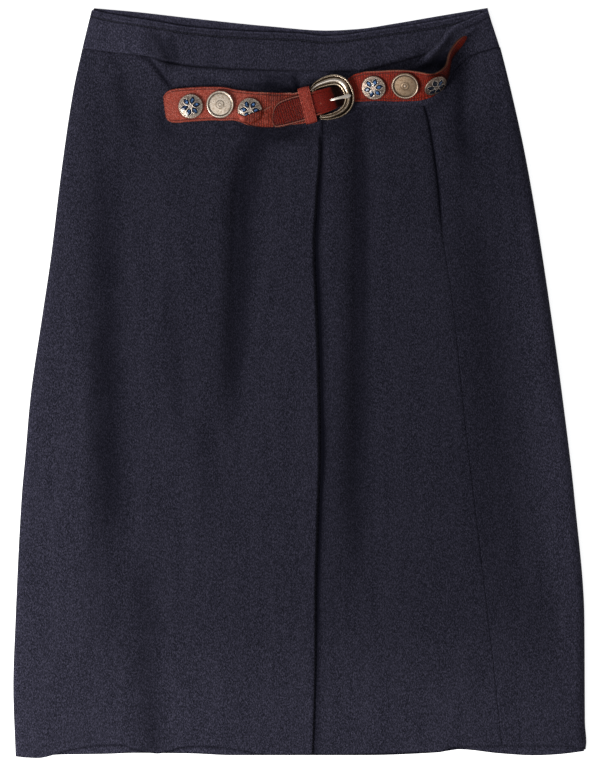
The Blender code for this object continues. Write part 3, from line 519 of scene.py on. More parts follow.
wrapEdge = smoothLine([  # y, x
    (-350.1, 13.4), (-298.0, 15.1), (-251.0, 15.9), (-204.0, 16.0), (-157.0, 17.3), (-110.0, 18.8),
    (-63.0, 20.0), (-16.4, 19.4), (31.0, 18.4), (78.0, 16.5), (125.0, 14.8), (172.0, 17.0), (219.0, 20.4),
    (237.4, 20.4), (262.0, 18.8)])
rightSeam = smoothLine([  # y, x
    (-343.5, 189.9), (-262.6, 181.4), (-149.8, 168.3), (-37.0, 155.1), (77.6, 142.9),
    (141.6, 133.5), (188.6, 129.3), (245.0, 120.7), (262.0, 116.0)])
wrapShade = smoothLine([  # y, how much painted shade lies along the wrap edge
    (-352.0, 0.45), (-298.0, 0.54), (-204.0, 0.7), (-110.0, 0.88), (-63.0, 0.98), (172.0, 1.0),
    (219.0, 0.85), (262.0, 0.8)])
wrapDark = smoothLine([  # y, how wide that painted shade is
    (-352.0, 4.2), (-298.0, 4.0), (-204.0, 3.2), (-110.0, 2.8), (-63.0, 3.7), (-16.0, 3.1), (31.0, 4.1),
    (78.0, 5.0), (125.0, 4.2), (172.0, 3.6), (219.0, 2.1), (262.0, 2.0)])
waistFade = smoothLine([  # y, share of the full height
    (-352.0, 0.75), (-250.0, 1.0), (150.0, 1.0), (250.0, 0.75), (296.0, 0.45), (330.0, 0.1),
    (352.0, 0.0)])
wrapRoll = smoothLine([  # y, how far from the wrap edge the under panel takes to rise
    (-352.0, 1.2), (-204.0, 1.5), (-110.0, 2.4), (245.0, 2.6), (285.0, 70.0), (352.0, 90.0)])
bandAcross = smoothLine([  # x on the over waistband's seam, x on its top edge
    (20.7, 22.0), (47.0, 47.0), (75.2, 70.5), (116.6, 96.8), (136.3, 109.0), (145.7, 122.0),
    (159.8, 140.0), (188.0, 176.7)])

# The largest folds, as the solids have them: left and right width, how much painted shade they get, and y,
# x, depth
largeFolds = {
    "hip": (13.0, 13.0, 0.4, [
        (-60.0, -63.0, 0.0), (-16.0, -63.0, -2.0), (70.0, -60.0, -4.0), (155.0, -57.0, -4.0),
        (209.0, -51.0, -3.6), (242.0, -34.0, -2.2), (262.0, -30.0, 0.0)]),
    "sideSweep": (30.0, 24.0, 0.15, [
        (-180.0, -176.0, 0.0), (-130.0, -178.0, -2.4), (-54.0, -180.0, -3.4),
        (50.0, -182.0, -3.0), (185.0, -184.0, -1.4), (240.0, -176.0, 0.0)]),
    "lowerLeft": (18.0, 18.0, 0.1, [
        (-352.0, -133.0, -3.0), (-240.0, -139.0, -2.0), (-160.0, -146.0, 0.0)]),
    "leftCrest": (26.0, 22.0, 0.0, [
        (-352.0, -70.0, 1.4), (-150.0, -80.0, 1.2), (60.0, -115.0, 1.4), (200.0, -105.0, 1.0),
        (250.0, -100.0, 0.0)]),
    "wrap": (11.0, 11.0, 0.34, [
        (-190.0, 54.0, 0.0), (-125.0, 54.0, -2.2), (20.0, 55.0, -4.0), (209.0, 57.0, -3.6),
        (240.0, 54.0, -2.0), (256.0, 53.0, 0.0)]),
    "seamCrease": (5.0, 5.0, 0.3, [
        (120.0, 137.0, 0.0), (141.6, 133.5, -0.6), (188.6, 129.3, -1.2), (245.0, 120.7, -1.2),
        (262.0, 116.0, -0.4)]),
    "rightHollow": (24.0, 26.0, 0.1, [
        (-250.0, 206.0, 0.0), (-150.0, 200.0, -2.0), (0.0, 192.0, -3.0), (150.0, 172.0, -2.4),
        (230.0, 158.0, -1.6), (270.0, 150.0, 0.0)]),
    "rightCrest": (16.0, 16.0, 0.0, [
        (-230.0, 240.0, 0.0), (-120.0, 234.0, 1.4), (80.0, 216.0, 1.4), (150.0, 208.0, 0.0)]),
}

bar = {"x": 15.5, "y": 261.9, "z": 8.8, "radius": 1.6, "turn": math.radians(18.0)}

# Creases, listed one by one: each runs along its points
creases = {    # x, y, depth, painted shade (painted light below 0), left and right width
    "hipTrough": [(-32, 242, 0, 0, 7, 9), (-35, 230, -.6, .3, 8, 12), (-45, 209, -1.0, .36, 9, 15),
                  (-53, 186, -1.2, .4, 9, 15), (-55.5, 157, -1.2, .42, 9, 14), (-57, 115, -1, .43, 9, 12),
                  (-58, 77, -.8, .42, 9, 11), (-60, 40, -.6, .38, 10, 9), (-62, 11, -.4, .25, 11, 8),
                  (-65, -16, -.2, .08, 12, 8), (-67, -45, 0, 0, 9, 7)],
    "wrapTrough": [(55, 262, 0, 0, 5, 8), (55, 240, -.6, .18, 7, 9), (56, 209, -1.1, .2, 6, 9),
                   (57, 186, -1.2, .23, 5.5, 9), (58.5, 143, -1.1, .23, 5.5, 8), (58, 77, -1, .22, 6, 8),
                   (59, 30, -.9, .22, 9, 8), (59, -16, -.7, .22, 13, 9), (56, -63, -.4, .2, 16, 13),
                   (54, -110, -.2, .18, 18, 15), (53, -170, 0, .08, 18, 15), (53, -230, 0, 0, 16, 12)],
    "sideShadow": [(-183, 215, 0, 0, 13, 12), (-182, 180, -.3, .26, 13, 12), (-181, 120, -.4, .32, 13, 13),
                   (-181, 78, -.5, .3, 13, 14), (-181, 12, -.8, .43, 12, 14), (-180, -54, -.8, .48, 11, 14),
                   (-177, -112, -.5, .32, 12, 14), (-175, -150, -.2, .1, 13, 13),
                   (-173, -190, 0, 0, 12, 12)],
    "sideCrest": [(-207, 60, 0, 0, 6, 6), (-206, 10, .2, -.12, 6, 6), (-204, -60, .3, -.16, 6, 6),
                  (-203, -120, .2, -.14, 6, 6), (-202, -170, 0, 0, 6, 6)],
    "lowerShadow": [(-150, -150, 0, 0, 9, 9), (-147, -186, -.3, .18, 11, 11), (-143, -250, -.4, .2, 11, 12),
                    (-140, -310, -.5, .32, 11, 11), (-137, -348, -.3, .25, 9, 9)],
    "middleFaintA": [(-124, 110, 0, 0, 9, 9), (-120, 50, -.4, .26, 11, 11), (-117, -10, -.3, .2, 11, 11),
                     (-113, -60, 0, 0, 9, 9)],
    "middleFaintB": [(-92, -20, 0, 0, 9, 9), (-89, -60, -.4, .2, 11, 11), (-88, -120, -.2, .1, 10, 10),
                     (-86, -170, 0, 0, 8, 8)],
    "rightShort": [(147, 262, 0, 0, 4, 5), (150, 245, -.6, .35, 6, 8), (153, 228, -.8, .38, 8, 9),
                   (156, 205, -.4, .2, 8, 10), (160, 180, 0, 0, 8, 10)],
    "rightBroad": [(146, 175, 0, 0, 14, 16), (162, 100, -.3, .13, 18, 20), (168, 0, -.3, .14, 20, 24),
                   (172, -100, -.3, .11, 20, 24), (182, -200, 0, 0, 16, 18)],
    "waistTroughB": [(-123, 331, 0, 0, 3, 4), (-120, 322, -.9, .4, 4, 4), (-117, 312, -1.0, .45, 4, 4),
                     (-114, 303, -.5, .3, 4, 4), (-112, 298, 0, 0, 3, 3)],
    "hipSoft": [(-172, 300, 0, 0, 6, 6), (-167, 285, -.7, .28, 8, 8), (-164, 268, -1.0, .32, 9, 9),
                (-158, 250, -.8, .22, 9, 9), (-150, 228, 0, 0, 8, 8)],
    "hipNick": [(-181, 311, 0, 0, 3, 3), (-177, 307, -.7, .35, 3, 4), (-172, 300, -.8, .35, 3, 4),
                (-168, 293, 0, 0, 3, 4)],
    "hipCorner": [(-136, 262, 0, 0, 4, 4), (-133, 250, -.5, .3, 5, 5), (-126, 238, -.5, .3, 6, 5),
                  (-112, 231, 0, 0, 5, 4)],
    "waistCreaseA": [(12.5, 330, 0, 0, 3, 3), (12.5, 312, -.5, .2, 3, 3), (10, 294, 0, 0, 3, 3)],
    "waistCreaseB": [(70, 326, 0, 0, 3, 3), (68, 312, -.5, .22, 4, 4), (67, 296, 0, 0, 3, 3)],
    "bandHollow": [(92, 300, 0, 0, 4, 4), (104, 304, -.5, .3, 5, 5), (116, 311, -.6, .35, 5, 5),
                   (128, 322, -.6, .3, 5, 5), (137, 334, 0, 0, 4, 4)],
    "belowBelt": [(-64, 241, 0, 0, 5, 7), (-46, 236, -.3, .3, 6, 9), (-22, 232, -.4, .42, 7, 11),
                  (2, 236, -.4, .34, 7, 10), (16, 240, 0, .1, 5, 7)],
    "belowBuckle": [(22, 238, 0, 0, 5, 6), (34, 240, -.3, .3, 6, 8), (50, 250, -.3, .3, 6, 8),
                    (66, 259, 0, 0, 5, 6)],
    "besideStrap": [(112, 258, 0, 0, 8, 5), (126, 264, -.3, .3, 11, 6), (139, 278, -.4, .4, 14, 6),
                    (146, 296, -.4, .35, 13, 6), (154, 313, 0, 0, 10, 5)],
    "strapShadow": [(149, 240, 0, 0, 6, 7), (150, 256, 0, .4, 6, 8), (152, 274, 0, .5, 6, 8),
                    (154, 292, 0, .4, 6, 8), (160, 308, 0, 0, 6, 8)],
    "paintedEdgeLight": [(200, 185, 0, 0, 12, 12), (214, 110, 0, -.22, 15, 16), (224, 30, 0, -.3, 15, 18),
                 (232, -60, 0, -.34, 15, 18), (236, -150, 0, -.24, 15, 18), (238, -210, 0, 0, 12, 14)],
}
pulls = {    # short narrow ones that hold the deepest painted shade
    "waistTroughA": [(-143, 336, 0, 0, 3, 4), (-139, 330, -1.4, .6, 4, 5), (-134, 322, -2.0, .85, 4, 6),
                     (-129, 313, -2.0, .8, 4, 7), (-124, 305, -1.4, .7, 4, 6), (-119, 298, -.5, .3, 4, 5),
                     (-113, 292, 0, 0, 4, 4)],
    "hipPull": [(-157, 307.5, 0, 0, 1.5, 1.5), (-150, 306, -.7, .5, 1.5, 2),
                (-144, 303.5, -1.0, .7, 1.4, 2.5), (-138, 297.5, -1.2, .8, 1.4, 3),
                (-132, 290, -1.5, .9, 1.4, 3.5), (-126, 282, -1.4, .9, 1.4, 3.5),
                (-121, 276, -.8, .75, 1.4, 3), (-118, 271, 0, 0, 1.5, 3)],
    "beltLip": [(-62, 286, 0, 0, 2, 5), (-58, 281, -.6, .3, 3, 5), (-40, 279, -1.0, .6, 3, 5),
                (-26, 277.5, -1.3, .85, 3, 9), (-12, 276, -1.2, .85, 3, 8), (-2, 275, -.6, .6, 2, 5),
                (4, 277, 0, 0, 2, 3)],
    "beltLipLeft": [(-104, 287, 0, 0, 2, 2), (-100, 285, -.5, .4, 2, 3), (-92, 284.5, -.5, .4, 2, 3),
                    (-84, 284.5, 0, 0, 2, 3)],
    "rollLine": [(-66, 291, 0, 0, 2, 3), (-50, 289.5, -.5, .28, 2, 3), (-30, 287.5, -.6, .34, 2, 3),
                 (-12, 285.5, -.5, .3, 2, 3), (-7, 284, 0, 0, 2, 2)],
    "beltNotch": [(-8, 292, 0, 0, 2, 3), (-6, 287, -1.1, .75, 3, 4), (-3, 280, -.9, .75, 3, 4),
                  (0, 274, 0, .3, 2, 3)],
}
ridges = {   # raised rolls between them, with the same columns: below 0 a painted highlight on their crests
    "hipBulge": [(-158, 334, 0, 0, 9, 8), (-152, 320, 1.2, -.08, 10, 7), (-143, 306, 1.6, -.12, 10, 6),
                 (-133, 299, 1.2, -.1, 6, 5), (-124, 291, .8, 0, 5, 5)],
    "beltRoll": [(-122, 288, 0, 0, 4, 4), (-112, 290, 1.0, -.1, 5, 5), (-90, 291, 1.4, -.14, 5, 5),
                 (-60, 290, 1.2, -.1, 5, 5), (-30, 290, 1.0, -.05, 4, 4), (-10, 289, 0, 0, 3, 3)],
    "buckleRoll": [(-3, 287, 0, 0, 4, 3), (4, 289, 1.2, -.15, 4, 4), (14, 290, 1.0, -.15, 4, 4),
                   (24, 290, .5, 0, 4, 4), (30, 289, 0, 0, 4, 3)],
}


def largeRelief(x, y):
    height, shade = 0.0, 0.0
    for left, right, dark, rows in largeFolds.values():
        away = x - smoothLine(rows)(y)
        shape = bell(away, np.where(away < 0, left, right))
        depth = smoothLine(rows, 2)(y)
        height = height + depth * shape
        shade = shade + dark * np.clip(-depth / 4.0, 0, 1) * shape
    return height, shade


def alongPath(points, count=60):
    # even steps along a smooth path through the points, all columns carried along
    points = np.asarray(points, float)
    step = lengthsAlong(points[:, :2])
    at = np.linspace(0, step[-1], count)
    return np.stack([smoothLine(list(zip(step, column)))(at) for column in points.T], 1)


def creaseRelief(x, y, table):
    # height and painted shade of soft creases: each has its own uneven path, depth and widths
    height, shade = np.zeros(x.shape), np.zeros(x.shape)
    flatX, flatY = x.ravel(), y.ravel()
    wander = 1.6 * softNoise(flatX, flatY, 24.0, 5)
    for number, points in enumerate(table.values()):
        path = alongPath(points)
        reach = 3.2 * max(max(row[4], row[5]) for row in points)
        near = np.nonzero((flatX > path[:, 0].min() - reach) & (flatX < path[:, 0].max() + reach)
                          & (flatY > path[:, 1].min() - reach) & (flatY < path[:, 1].max() + reach))[0]
        if not len(near):
            continue
        dx = flatX[near, None] - path[None, :, 0]
        dy = flatY[near, None] - path[None, :, 1]
        closest = np.argmin(dx ** 2 + dy ** 2, axis=1)
        each = np.arange(len(near))
        run = unit(np.gradient(path[:, :2], axis=0))[closest]
        ddx, ddy = dx[each, closest], dy[each, closest]
        beyond = ddx * run[:, 0] + ddy * run[:, 1]
        away = -ddx * run[:, 1] + ddy * run[:, 0]   # positive on the left of the way it runs
        away = away + wander[near] * np.clip(path[closest, 4] / 8.0, 0.15, 1.0)
        width = np.where(away > 0, path[closest, 5], path[closest, 4])
        spread = np.hypot(away, np.where((closest == 0) | (closest == len(path) - 1), beyond, 0.0))
        shape = bell(spread, width)
        uneven = 1.0 + 0.25 * softNoise(flatX[near], flatY[near], 18.0, 11 + number)
        height.ravel()[near] += path[closest, 2] * shape * uneven
        shade.ravel()[near] += path[closest, 3] * shape * uneven
    return height, shade


def pressed(x, y):
    away = np.hypot((x - bar["x"] + 6.0) / 34.0, (y - bar["y"]) / 26.0)
    return 1 - fade(0.85, 1.6, away)


def liveliness(x, y):
    # slow unevenness of cloth that has been worn and laid down by hand
    return mixedNoise(x, y, skirt["unevenness"])


def broadShade(x, y):
    # painted shade: the panels are painted darker in their middle than along the waist, the hem and the
    # folded sides
    middle = fade(-320, -200, y) * fade(305, 235, y) * fade(-218, -190, x) * fade(254, 226, x)
    corner = fade(-236, -262, x) * fade(-180, -260, y)
    return ((shades["middle"] + shades["overMiddle"] * fade(16, 24, x)) * middle + shades["everywhere"]
            + shades["corner"] * corner)


def sideLine(inside):
    # painted shade: a dark line along a side, where the cloth turns under
    return shades["sideLine"] * bell(inside, 0.9)


def softened(shade):
    # broad hollows never get as much painted shade as the narrow ones
    most, spare = shades["broadMost"], shades["broadSpare"]
    return np.where(shade > most, most + spare * np.tanh((shade - most) / spare), shade)


def broadForm(x, y):
    # the large folds, and the painted shade of all broad hollows
    large, largeShade = largeRelief(x, y)
    small, smallShade = creaseRelief(x, y, creases)
    return large, small, softened(largeShade + smallShade + broadShade(x, y))


def underRolls(x, y):
    # how far the under panel has risen from its folded side and from the wrap edge
    return (rollUp(x - leftSide(y), skirt["sideRound"]),
            rollUp(wrapEdge(y) - skirt["setBack"] - x, wrapRoll(y)))


def underRelief(x, y):
    left, wrap = underRolls(x, y)
    large, small, shade = broadForm(x, y)
    # dark is the painted shade of the narrow pulls, pale the painted highlight on the ridges
    narrow, dark = creaseRelief(x, y, pulls)
    raised, pale = creaseRelief(x, y, ridges)
    free = 1 - pressed(x, y)
    body = ((skirt["puff"] + large + liveliness(x, y)) * waistFade(y) + raised + small + narrow) * free
    return np.maximum(body, 0.0) * left * wrap, shade + dark + pale


def foldedSide(inward):
    # the cloth's own turn at the folded sides, down to the floor
    return rollUp(inward, 2.0)


def overBase(x):
    return onUnder + (onUnderBand - onUnder) * fade(86.0, 100.0, x)


def overHeight(x, y):
    side = rollUp(rightSide(y) - x, skirt["sideRound"])
    inward = x - wrapEdge(y)
    edge = 0.35 * rollUp(inward, skirt["edgeRoll"]) + 0.65 * fade(-2.0, 15.0, inward)
    nearSeam = 1 - fade(0.0, skirt["seamReach"], overSeam(x) - y)
    large, small, shade = broadForm(x, y)
    body = (skirt["puff"] + large + liveliness(x, y)) * waistFade(y) * (1 - nearSeam) + small
    base = onUnder + (overBase(x) - onUnder) * nearSeam
    high = (onBack * foldedSide(rightSide(y) - x)
            + (base - onBack + np.maximum(body, 0) * (1 - pressed(x, y)) * edge) * side)
    # painted shade along the wrap edge, and a wide faint one beside it low on the skirt
    paintedWrapShade = (np.exp(-(np.maximum(inward, 0) / wrapDark(y)) ** 1.5) * wrapShade(y)
                  + shades["wrapRoll"] * bell(inward, 17.0) * fade(60, -40, y))
    return high, shade + paintedWrapShade


def panelGrid(lines, rows, bottom, top):
    # grids of x and y: lines are functions of y, rows are shares from the bottom edge to the top edge
    gridX, gridY = [], []
    for line in lines:
        y = bottom(0.0) + rows * (top(0.0) - bottom(0.0))
        for _ in range(8):
            x = line(y)
            y = bottom(x) + rows * (top(x) - bottom(x))
        gridX.append(x)
        gridY.append(y)
    return np.array(gridX).T, np.array(gridY).T


def between(first, second, share):
    return lambda y: first(y) + share * (second(y) - first(y))


def gridLines(*stops):
    # lines, with how many lie from each to the next between them
    lines = []
    for first, count, second in zip(stops[::2], stops[1::2], stops[2::2]):
        lines += [between(first, second, step / count) for step in range(count)]
    return lines + [stops[-1]]


def shifted(line, offset):
    return lambda at: line(at) + offset


def rowShares(length, step, edge=(0.0, 0.4, 1.0, 2.0)):
    # shares along a panel, close together at its two edges
    near = np.array(edge)
    middle = np.arange(edge[-1] + step, length - edge[-1], step)
    return np.concatenate([near, middle, (length - near)[::-1]]) / length


back = {
    "length": 648.0, "rowStep": 9.0,
    "edgeRows": (0.0, 0.4, 1.0, 2.0, 3.0, 4.2, 5.6, 7.2, 9.0, 11.0),     # how far they are from the edges
    "hollows": ((0.9, 0.3, 60.0, 21), (0.5, 0.5, 24.0, 22)), "hollowMost": 1.1,
    # hollowShade is painted shade in the back's hollows
    "hollowInset": 14.0, "hollowRise": 30.0, "hollowShade": 0.15, "hollowThins": 0.25,
    "thinner": 0.1,           # than the front's cloth
}


def addBack():
    left, right = shifted(leftSide, skirt["foldInset"]), shifted(rightSide, -skirt["foldInset"])
    lines = gridLines(left, 4, shifted(left, 6.0), 60, shifted(right, -6.0), 4, right)
    seam = shifted(backWaist, -skirt["backBand"])
    x, y = panelGrid(lines, rowShares(back["length"], back["rowStep"], back["edgeRows"]), backHem,
                     shifted(seam, -0.2))
    inset, rise = back["hollowInset"], back["hollowRise"]
    inside = rollUp(x - leftSide(y) - inset, rise) * rollUp(rightSide(y) - inset - x, rise)
    hollow = np.clip(mixedNoise(x, y, back["hollows"]), 0, back["hollowMost"])
    under = hollow * inside * fade(-345, -300, y) * fade(310, 270, y)
    # the strip that shows below the front hem: painted shadow under the hem, then painted light
    below = frontHem(x) - y
    strip = ((shades["strip"] + shades["stripRight"] * fade(120, 165, x)) * bell(below, 1.3)
             + shades["stripLit"] * fade(1.5, 3.0, below))
    # painted shade in the back's hollows and along its bottom edge
    shade = (back["hollowShade"] * hollow * inside + np.where(below > -2, strip, 0)
             + shades["backHem"] * bell(y - backHem(x), 0.8))
    panel = layCloth("backPanelCloth", "back_panel", x, y, under,
                     skirt["cloth"] - back["thinner"] - back["hollowThins"] * under, shade)
    x, y = panelGrid(lines, rowShares(skirt["backBand"], 4.0, (0.0, 0.4, 1.0)), seam, backWaist)
    # painted shade in the seam, and painted light along the back waistband and its edge
    seamDip = 0.5 * bell(seam(x) - y, 1.0)
    paintedEdgeLight = shades["backBand"] + shades["backEdge"] * bell(backWaist(x) - y - 0.5, 0.6)
    band = layCloth("backWaistbandCloth", "back_waistband", x, y, 0 * x,
                    skirt["band"] - back["thinner"] - seamDip, seamDip + paintedEdgeLight)


addBack()
print("back ready")

sewing = {
    "topstitch": 6.4,         # how far it is below the waistband's edge
    "stitch": 2.7, "stitchGap": 0.7,
    "thread": 0.3,            # its radius
    "stitchDent": 0.45,       # how deep it pulls the cloth in
    "stitchRings": ((-0.5, 0.35), (-0.34, 0.9), (0.34, 0.9), (0.5, 0.35)),   # share along it, width
}
underLayer = {
    "length": 645.0,
    "closeRows": (74.0, 2.5), "closeCount": 35,     # from and to below the waist seam, for small creases
}


def bandRows(height):
    # shares from the seam up to the edge, close together at the seam, the stitching and the edge
    stitch = height - sewing["topstitch"]
    marks = [0, .3, .7, 1.3, 2.2, 3.5, 5.5] + [8 + 2.5 * k for k in range(8)]
    marks += [stitch + d for d in (-2.2, -1.3, -.8, -.4, 0, .4, .8, 1.3, 2.2, 3.4, 4.6)]
    marks += [height - d for d in (.9, .45, .15, 0)]
    return np.array(marks) / height


def stitchRun(name, points, normals, thread, slotName, twist=0.0):
    # one short lozenge of thread for each stitch along a line
    length = lengthsAlong(points)
    vertices, faces = [], []
    for start in np.arange(0.3, length[-1] - sewing["stitch"], sewing["stitch"] + sewing["stitchGap"]):
        first, last = (columnsAt(start + d, length, points) for d in (0.0, sewing["stitch"]))
        up = columnsAt(start, length, normals)
        run = unit(last - first)
        side = unit(np.cross(up, run))
        faces += tubeFaces(len(sewing["stitchRings"]), 6, len(vertices))
        for share, size in sewing["stitchRings"]:
            for turn in np.arange(6) * math.tau / 6:
                spoke = side * math.cos(turn) + up * math.sin(turn)
                vertices.append((first + last) / 2 + (run + twist * side) * share * sewing["stitch"]
                                + sewing["thread"] * (size * spoke - 0.5 * abs(share) * up))
    dress(finishPiece(name, vertices, faces, [thread]), slotName)


seamShade = smoothLine([  # x, how much painted shade lies along the waist seam
    (-204.0, 0.4), (-180.0, 0.35), (-160.0, 0.3), (-142.0, 0.4), (-128.0, 0.95), (-110.0, 0.95),
    (-90.0, 0.85), (-60.0, 0.75), (-30.0, 0.6), (0.0, 0.4), (50.0, 0.3), (70.0, 0.45), (92.0, 0.65),
    (125.0, 0.4)])


def hemShade(hem, x, y):
    # painted shade as a dark last line along the turned edge of the hem, and a painted highlight on the roll
    # just above it
    above = y - hem
    line = shades["hem"] + shades["hemRight"] * fade(120, 165, x) + shades["hemLeft"] * fade(-180, -212, x)
    return line * bell(above, 0.8) + shades["hemRoll"] * bell(above - 3.0, 2.0)


def addUnderLayer():
    rows = rowShares(underLayer["length"], skirt["rowStep"])
    low, high = 1 - np.array(underLayer["closeRows"]) / underLayer["length"]
    rows = np.concatenate([rows[rows < low], np.linspace(low, high, underLayer["closeCount"]),
                           rows[rows > high + .0005]])
    lines = gridLines(leftSide, 8, shifted(leftSide, 2.4), 5, shifted(leftSide, 10.0), 112,
                      shifted(wrapEdge, -11.0), 12, shifted(wrapEdge, -skirt["setBack"]), 4,
                      shifted(wrapEdge, 6.0), 14, shifted(rightSide, -skirt["tucked"]))
    x, y = panelGrid(lines, rows, frontHem, shifted(frontSeam, -0.15))
    inside = x - leftSide(y)
    puff, shade = underRelief(x, y)
    # painted shade beside the wrap edge, along the waist seam, the hem and the folded side
    edge = bell(wrapEdge(y) - x, 1.4 + 2.8 * fade(-60, -260, y)) * fade(262, 250, y) * wrapShade(y)
    seamDip = bell(frontSeam(x) - y, 1.3)
    shade = (shade + shades["underWrap"] * edge + seamShade(x) * seamDip + hemShade(frontHem(x), x, y)
             + sideLine(inside))
    panel = layCloth("leftFrontPanelCloth", "left_front_panel", x, y, onBack * foldedSide(inside) + puff,
                     skirt["cloth"] - 0.35 * seamDip, shade)
    x, y = panelGrid(lines, bandRows(skirt["bandHeight"]), frontSeam, frontWaist)
    inside = x - leftSide(y)
    puff, shade = underRelief(x, y)
    fromTop = frontWaist(x) - y
    dent = bell(fromTop - sewing["topstitch"], 0.9)
    seamDip = bell(y - frontSeam(x), 1.2)
    lip = bell(fromTop - 0.8, 0.8) - 0.4 * bell(fromTop - 2.6, 0.7)
    # painted shade in the topstitching and the seam, and painted highlights on the top edge and the band
    shade = (shade + shades["topstitch"] * dent + seamShade(x) * seamDip + shades["topEdge"] * lip
             + shades["band"] + shades["bandLeft"] * fade(-105, -165, x) + sideLine(inside))
    thickness = skirt["band"] - sewing["stitchDent"] * dent - 0.4 * seamDip - 0.5 * bell(fromTop, 0.5)
    band = layCloth("underWaistbandCloth", "under_waistband", x, y, onBackBand * foldedSide(inside) + puff,
                    thickness, shade)
    at = np.linspace(-196, 150, 260)
    line = frontWaist(at) - sewing["topstitch"]
    high = onBackBand + underRelief(at, line)[0] + skirt["band"] - sewing["stitchDent"] + 0.1
    stitchRun("underWaistTopstitch", np.stack([at, line, high], 1), np.tile([0, 0, 1.0], (len(at), 1)),
              navyThread, "navy_twill")


addUnderLayer()
print("under layer ready")

overLayer = {
    "length": 606.0,
    "droopRidge": 4.5,        # how high the drooping waistband stands along its top
    "bandX": [*np.linspace(19.6, 184.0, 104), 185.5, 186.6, 187.3, 187.75],     # along the band's seam
    "bandShares": [0, .01, .025, .05, .09, .14, .2, .27, .34, .41, .48, .55, .61, .66, .7, .74, .77, .8,
                   .82, .84, .86, .88, .9, .92, .94, .96, .975, .988, 1.0],     # from there to its top
}


def addOverPanel(name, node, lines):
    x, y = panelGrid(lines, rowShares(overLayer["length"], skirt["rowStep"]), frontHem,
                     shifted(overSeam, -0.15))
    under, shade = overHeight(x, y)
    opened = fade(130, 165, y) * fade(270, 258, y)
    seam = bell(x - rightSeam(y), 0.8 + 0.7 * opened)
    waist = bell(overSeam(x) - y, 1.3)
    # painted shade along the side seam, more where it opens, along the waist seam, the hem and the side
    shade = (shade + seam * (shades["seam"] + shades["openSeam"] * opened)
             + shades["overWaist"] * waist * fade(130, 140, x) + hemShade(frontHem(x), x, y)
             + sideLine(rightSide(y) - x))
    panel = layCloth(name, node, x, y, under,
                     skirt["cloth"] - (0.25 + 0.4 * opened) * seam - 0.15 * waist, shade)


def addOverWaistband():
    # it droops: each line across it runs from a point of its seam to one of its top edge
    lowX, share = np.meshgrid(overLayer["bandX"], overLayer["bandShares"])
    highX = bandAcross(lowX)
    lowY, highY = overSeam(lowX), overTop(highX)
    x, y = lowX + share * (highX - lowX), lowY + share * (highY - lowY)
    side = rollUp(rightSide(y) - x, skirt["sideRound"])
    droop = fade(109, 124, x) * (1 - fade(140, 165, x))
    ridge = overLayer["droopRidge"] * droop * bell(share - 0.86, 0.14)
    small, shade = creaseRelief(x, y, bandCreases)
    under = (onBackBand * foldedSide(rightSide(y) - x)
             + (overBase(x) + np.maximum(ridge + small, 0) - onBackBand) * side)
    fromTop = (1 - share) * np.hypot(highX - lowX, highY - lowY)
    fromSeam = share * skirt["bandHeight"]
    dent = bell(fromTop - sewing["topstitch"], 0.9) * fade(150, 160, x)
    seamDip = bell(fromSeam, 1.2) * fade(150, 166, x)
    thickness = (skirt["band"] - sewing["stitchDent"] * dent - 0.3 * seamDip - 0.5 * bell(fromTop, 0.5)
                 - (skirt["band"] - skirt["cloth"]) * bell(fromSeam, 4.0) * fade(150, 130, x))
    lip = bell(fromTop - 0.9, 0.9) * fade(138, 146, x)
    crest = bell(share - 0.93, 0.05) * droop
    # painted shade beside the strap, in the topstitching and the seam, and painted highlights on the top
    # edge and the drooping crest
    beside = creaseRelief(x, y, {name: creases[name] for name in ("besideStrap", "strapShadow")})[1]
    shade = (shade + beside + shades["overTopstitch"] * dent + shades["overSeamDip"] * seamDip
             + shades["overTopEdge"] * lip + shades["droopCrest"] * crest + shades["overBand"])
    band = layCloth("overWaistbandCloth", "over_waistband", x, y, under, thickness, shade)


bandCreases = {   # x, y, depth, painted shade (painted highlight below 0), left and right width
    "hollow": [(104, 293, 0, .2, 3, 3), (112, 295, -.6, .6, 4, 4), (121, 298, -.9, .8, 5, 5),
               (129, 304, -1.0, .8, 6, 6), (135, 314, -.8, .6, 6, 5), (139, 323, -.4, .4, 5, 4),
               (143, 330, 0, .1, 4, 3)],
    "strapSide": [(127, 293, 0, 0, 3, 3), (133, 297, -.4, .7, 4, 4), (138, 304, -.4, .7, 4, 3),
                  (142, 312, 0, .3, 3, 3), (147, 320, 0, 0, 3, 3)],
    "tuck": [(156, 325, 0, 0, 2, 2), (160, 330, .6, -.5, 1.5, 1.5), (164, 334, .5, -.4, 1.5, 1.5),
             (168, 337, 0, 0, 2, 2)],
    "tuckShadow": [(160, 324, 0, 0, 2, 2), (164, 329, -.3, .3, 2.5, 2.5), (170, 334, 0, 0, 2, 2)],
}
beforeSeam, pastSeam = shifted(rightSeam, -0.15), shifted(rightSeam, 0.15)
addOverPanel("overPanelCentreCloth", "over_panel_centre",
             gridLines(wrapEdge, 12, shifted(wrapEdge, 7.0), 50, shifted(rightSeam, -3.0), 5, beforeSeam))
addOverPanel("overPanelSideCloth", "over_panel_side",
             gridLines(pastSeam, 5, shifted(rightSeam, 3.0), 32, shifted(rightSide, -10.0), 4,
                       shifted(rightSide, -3.0), 5, rightSide))
addOverWaistband()
print("over layer ready")

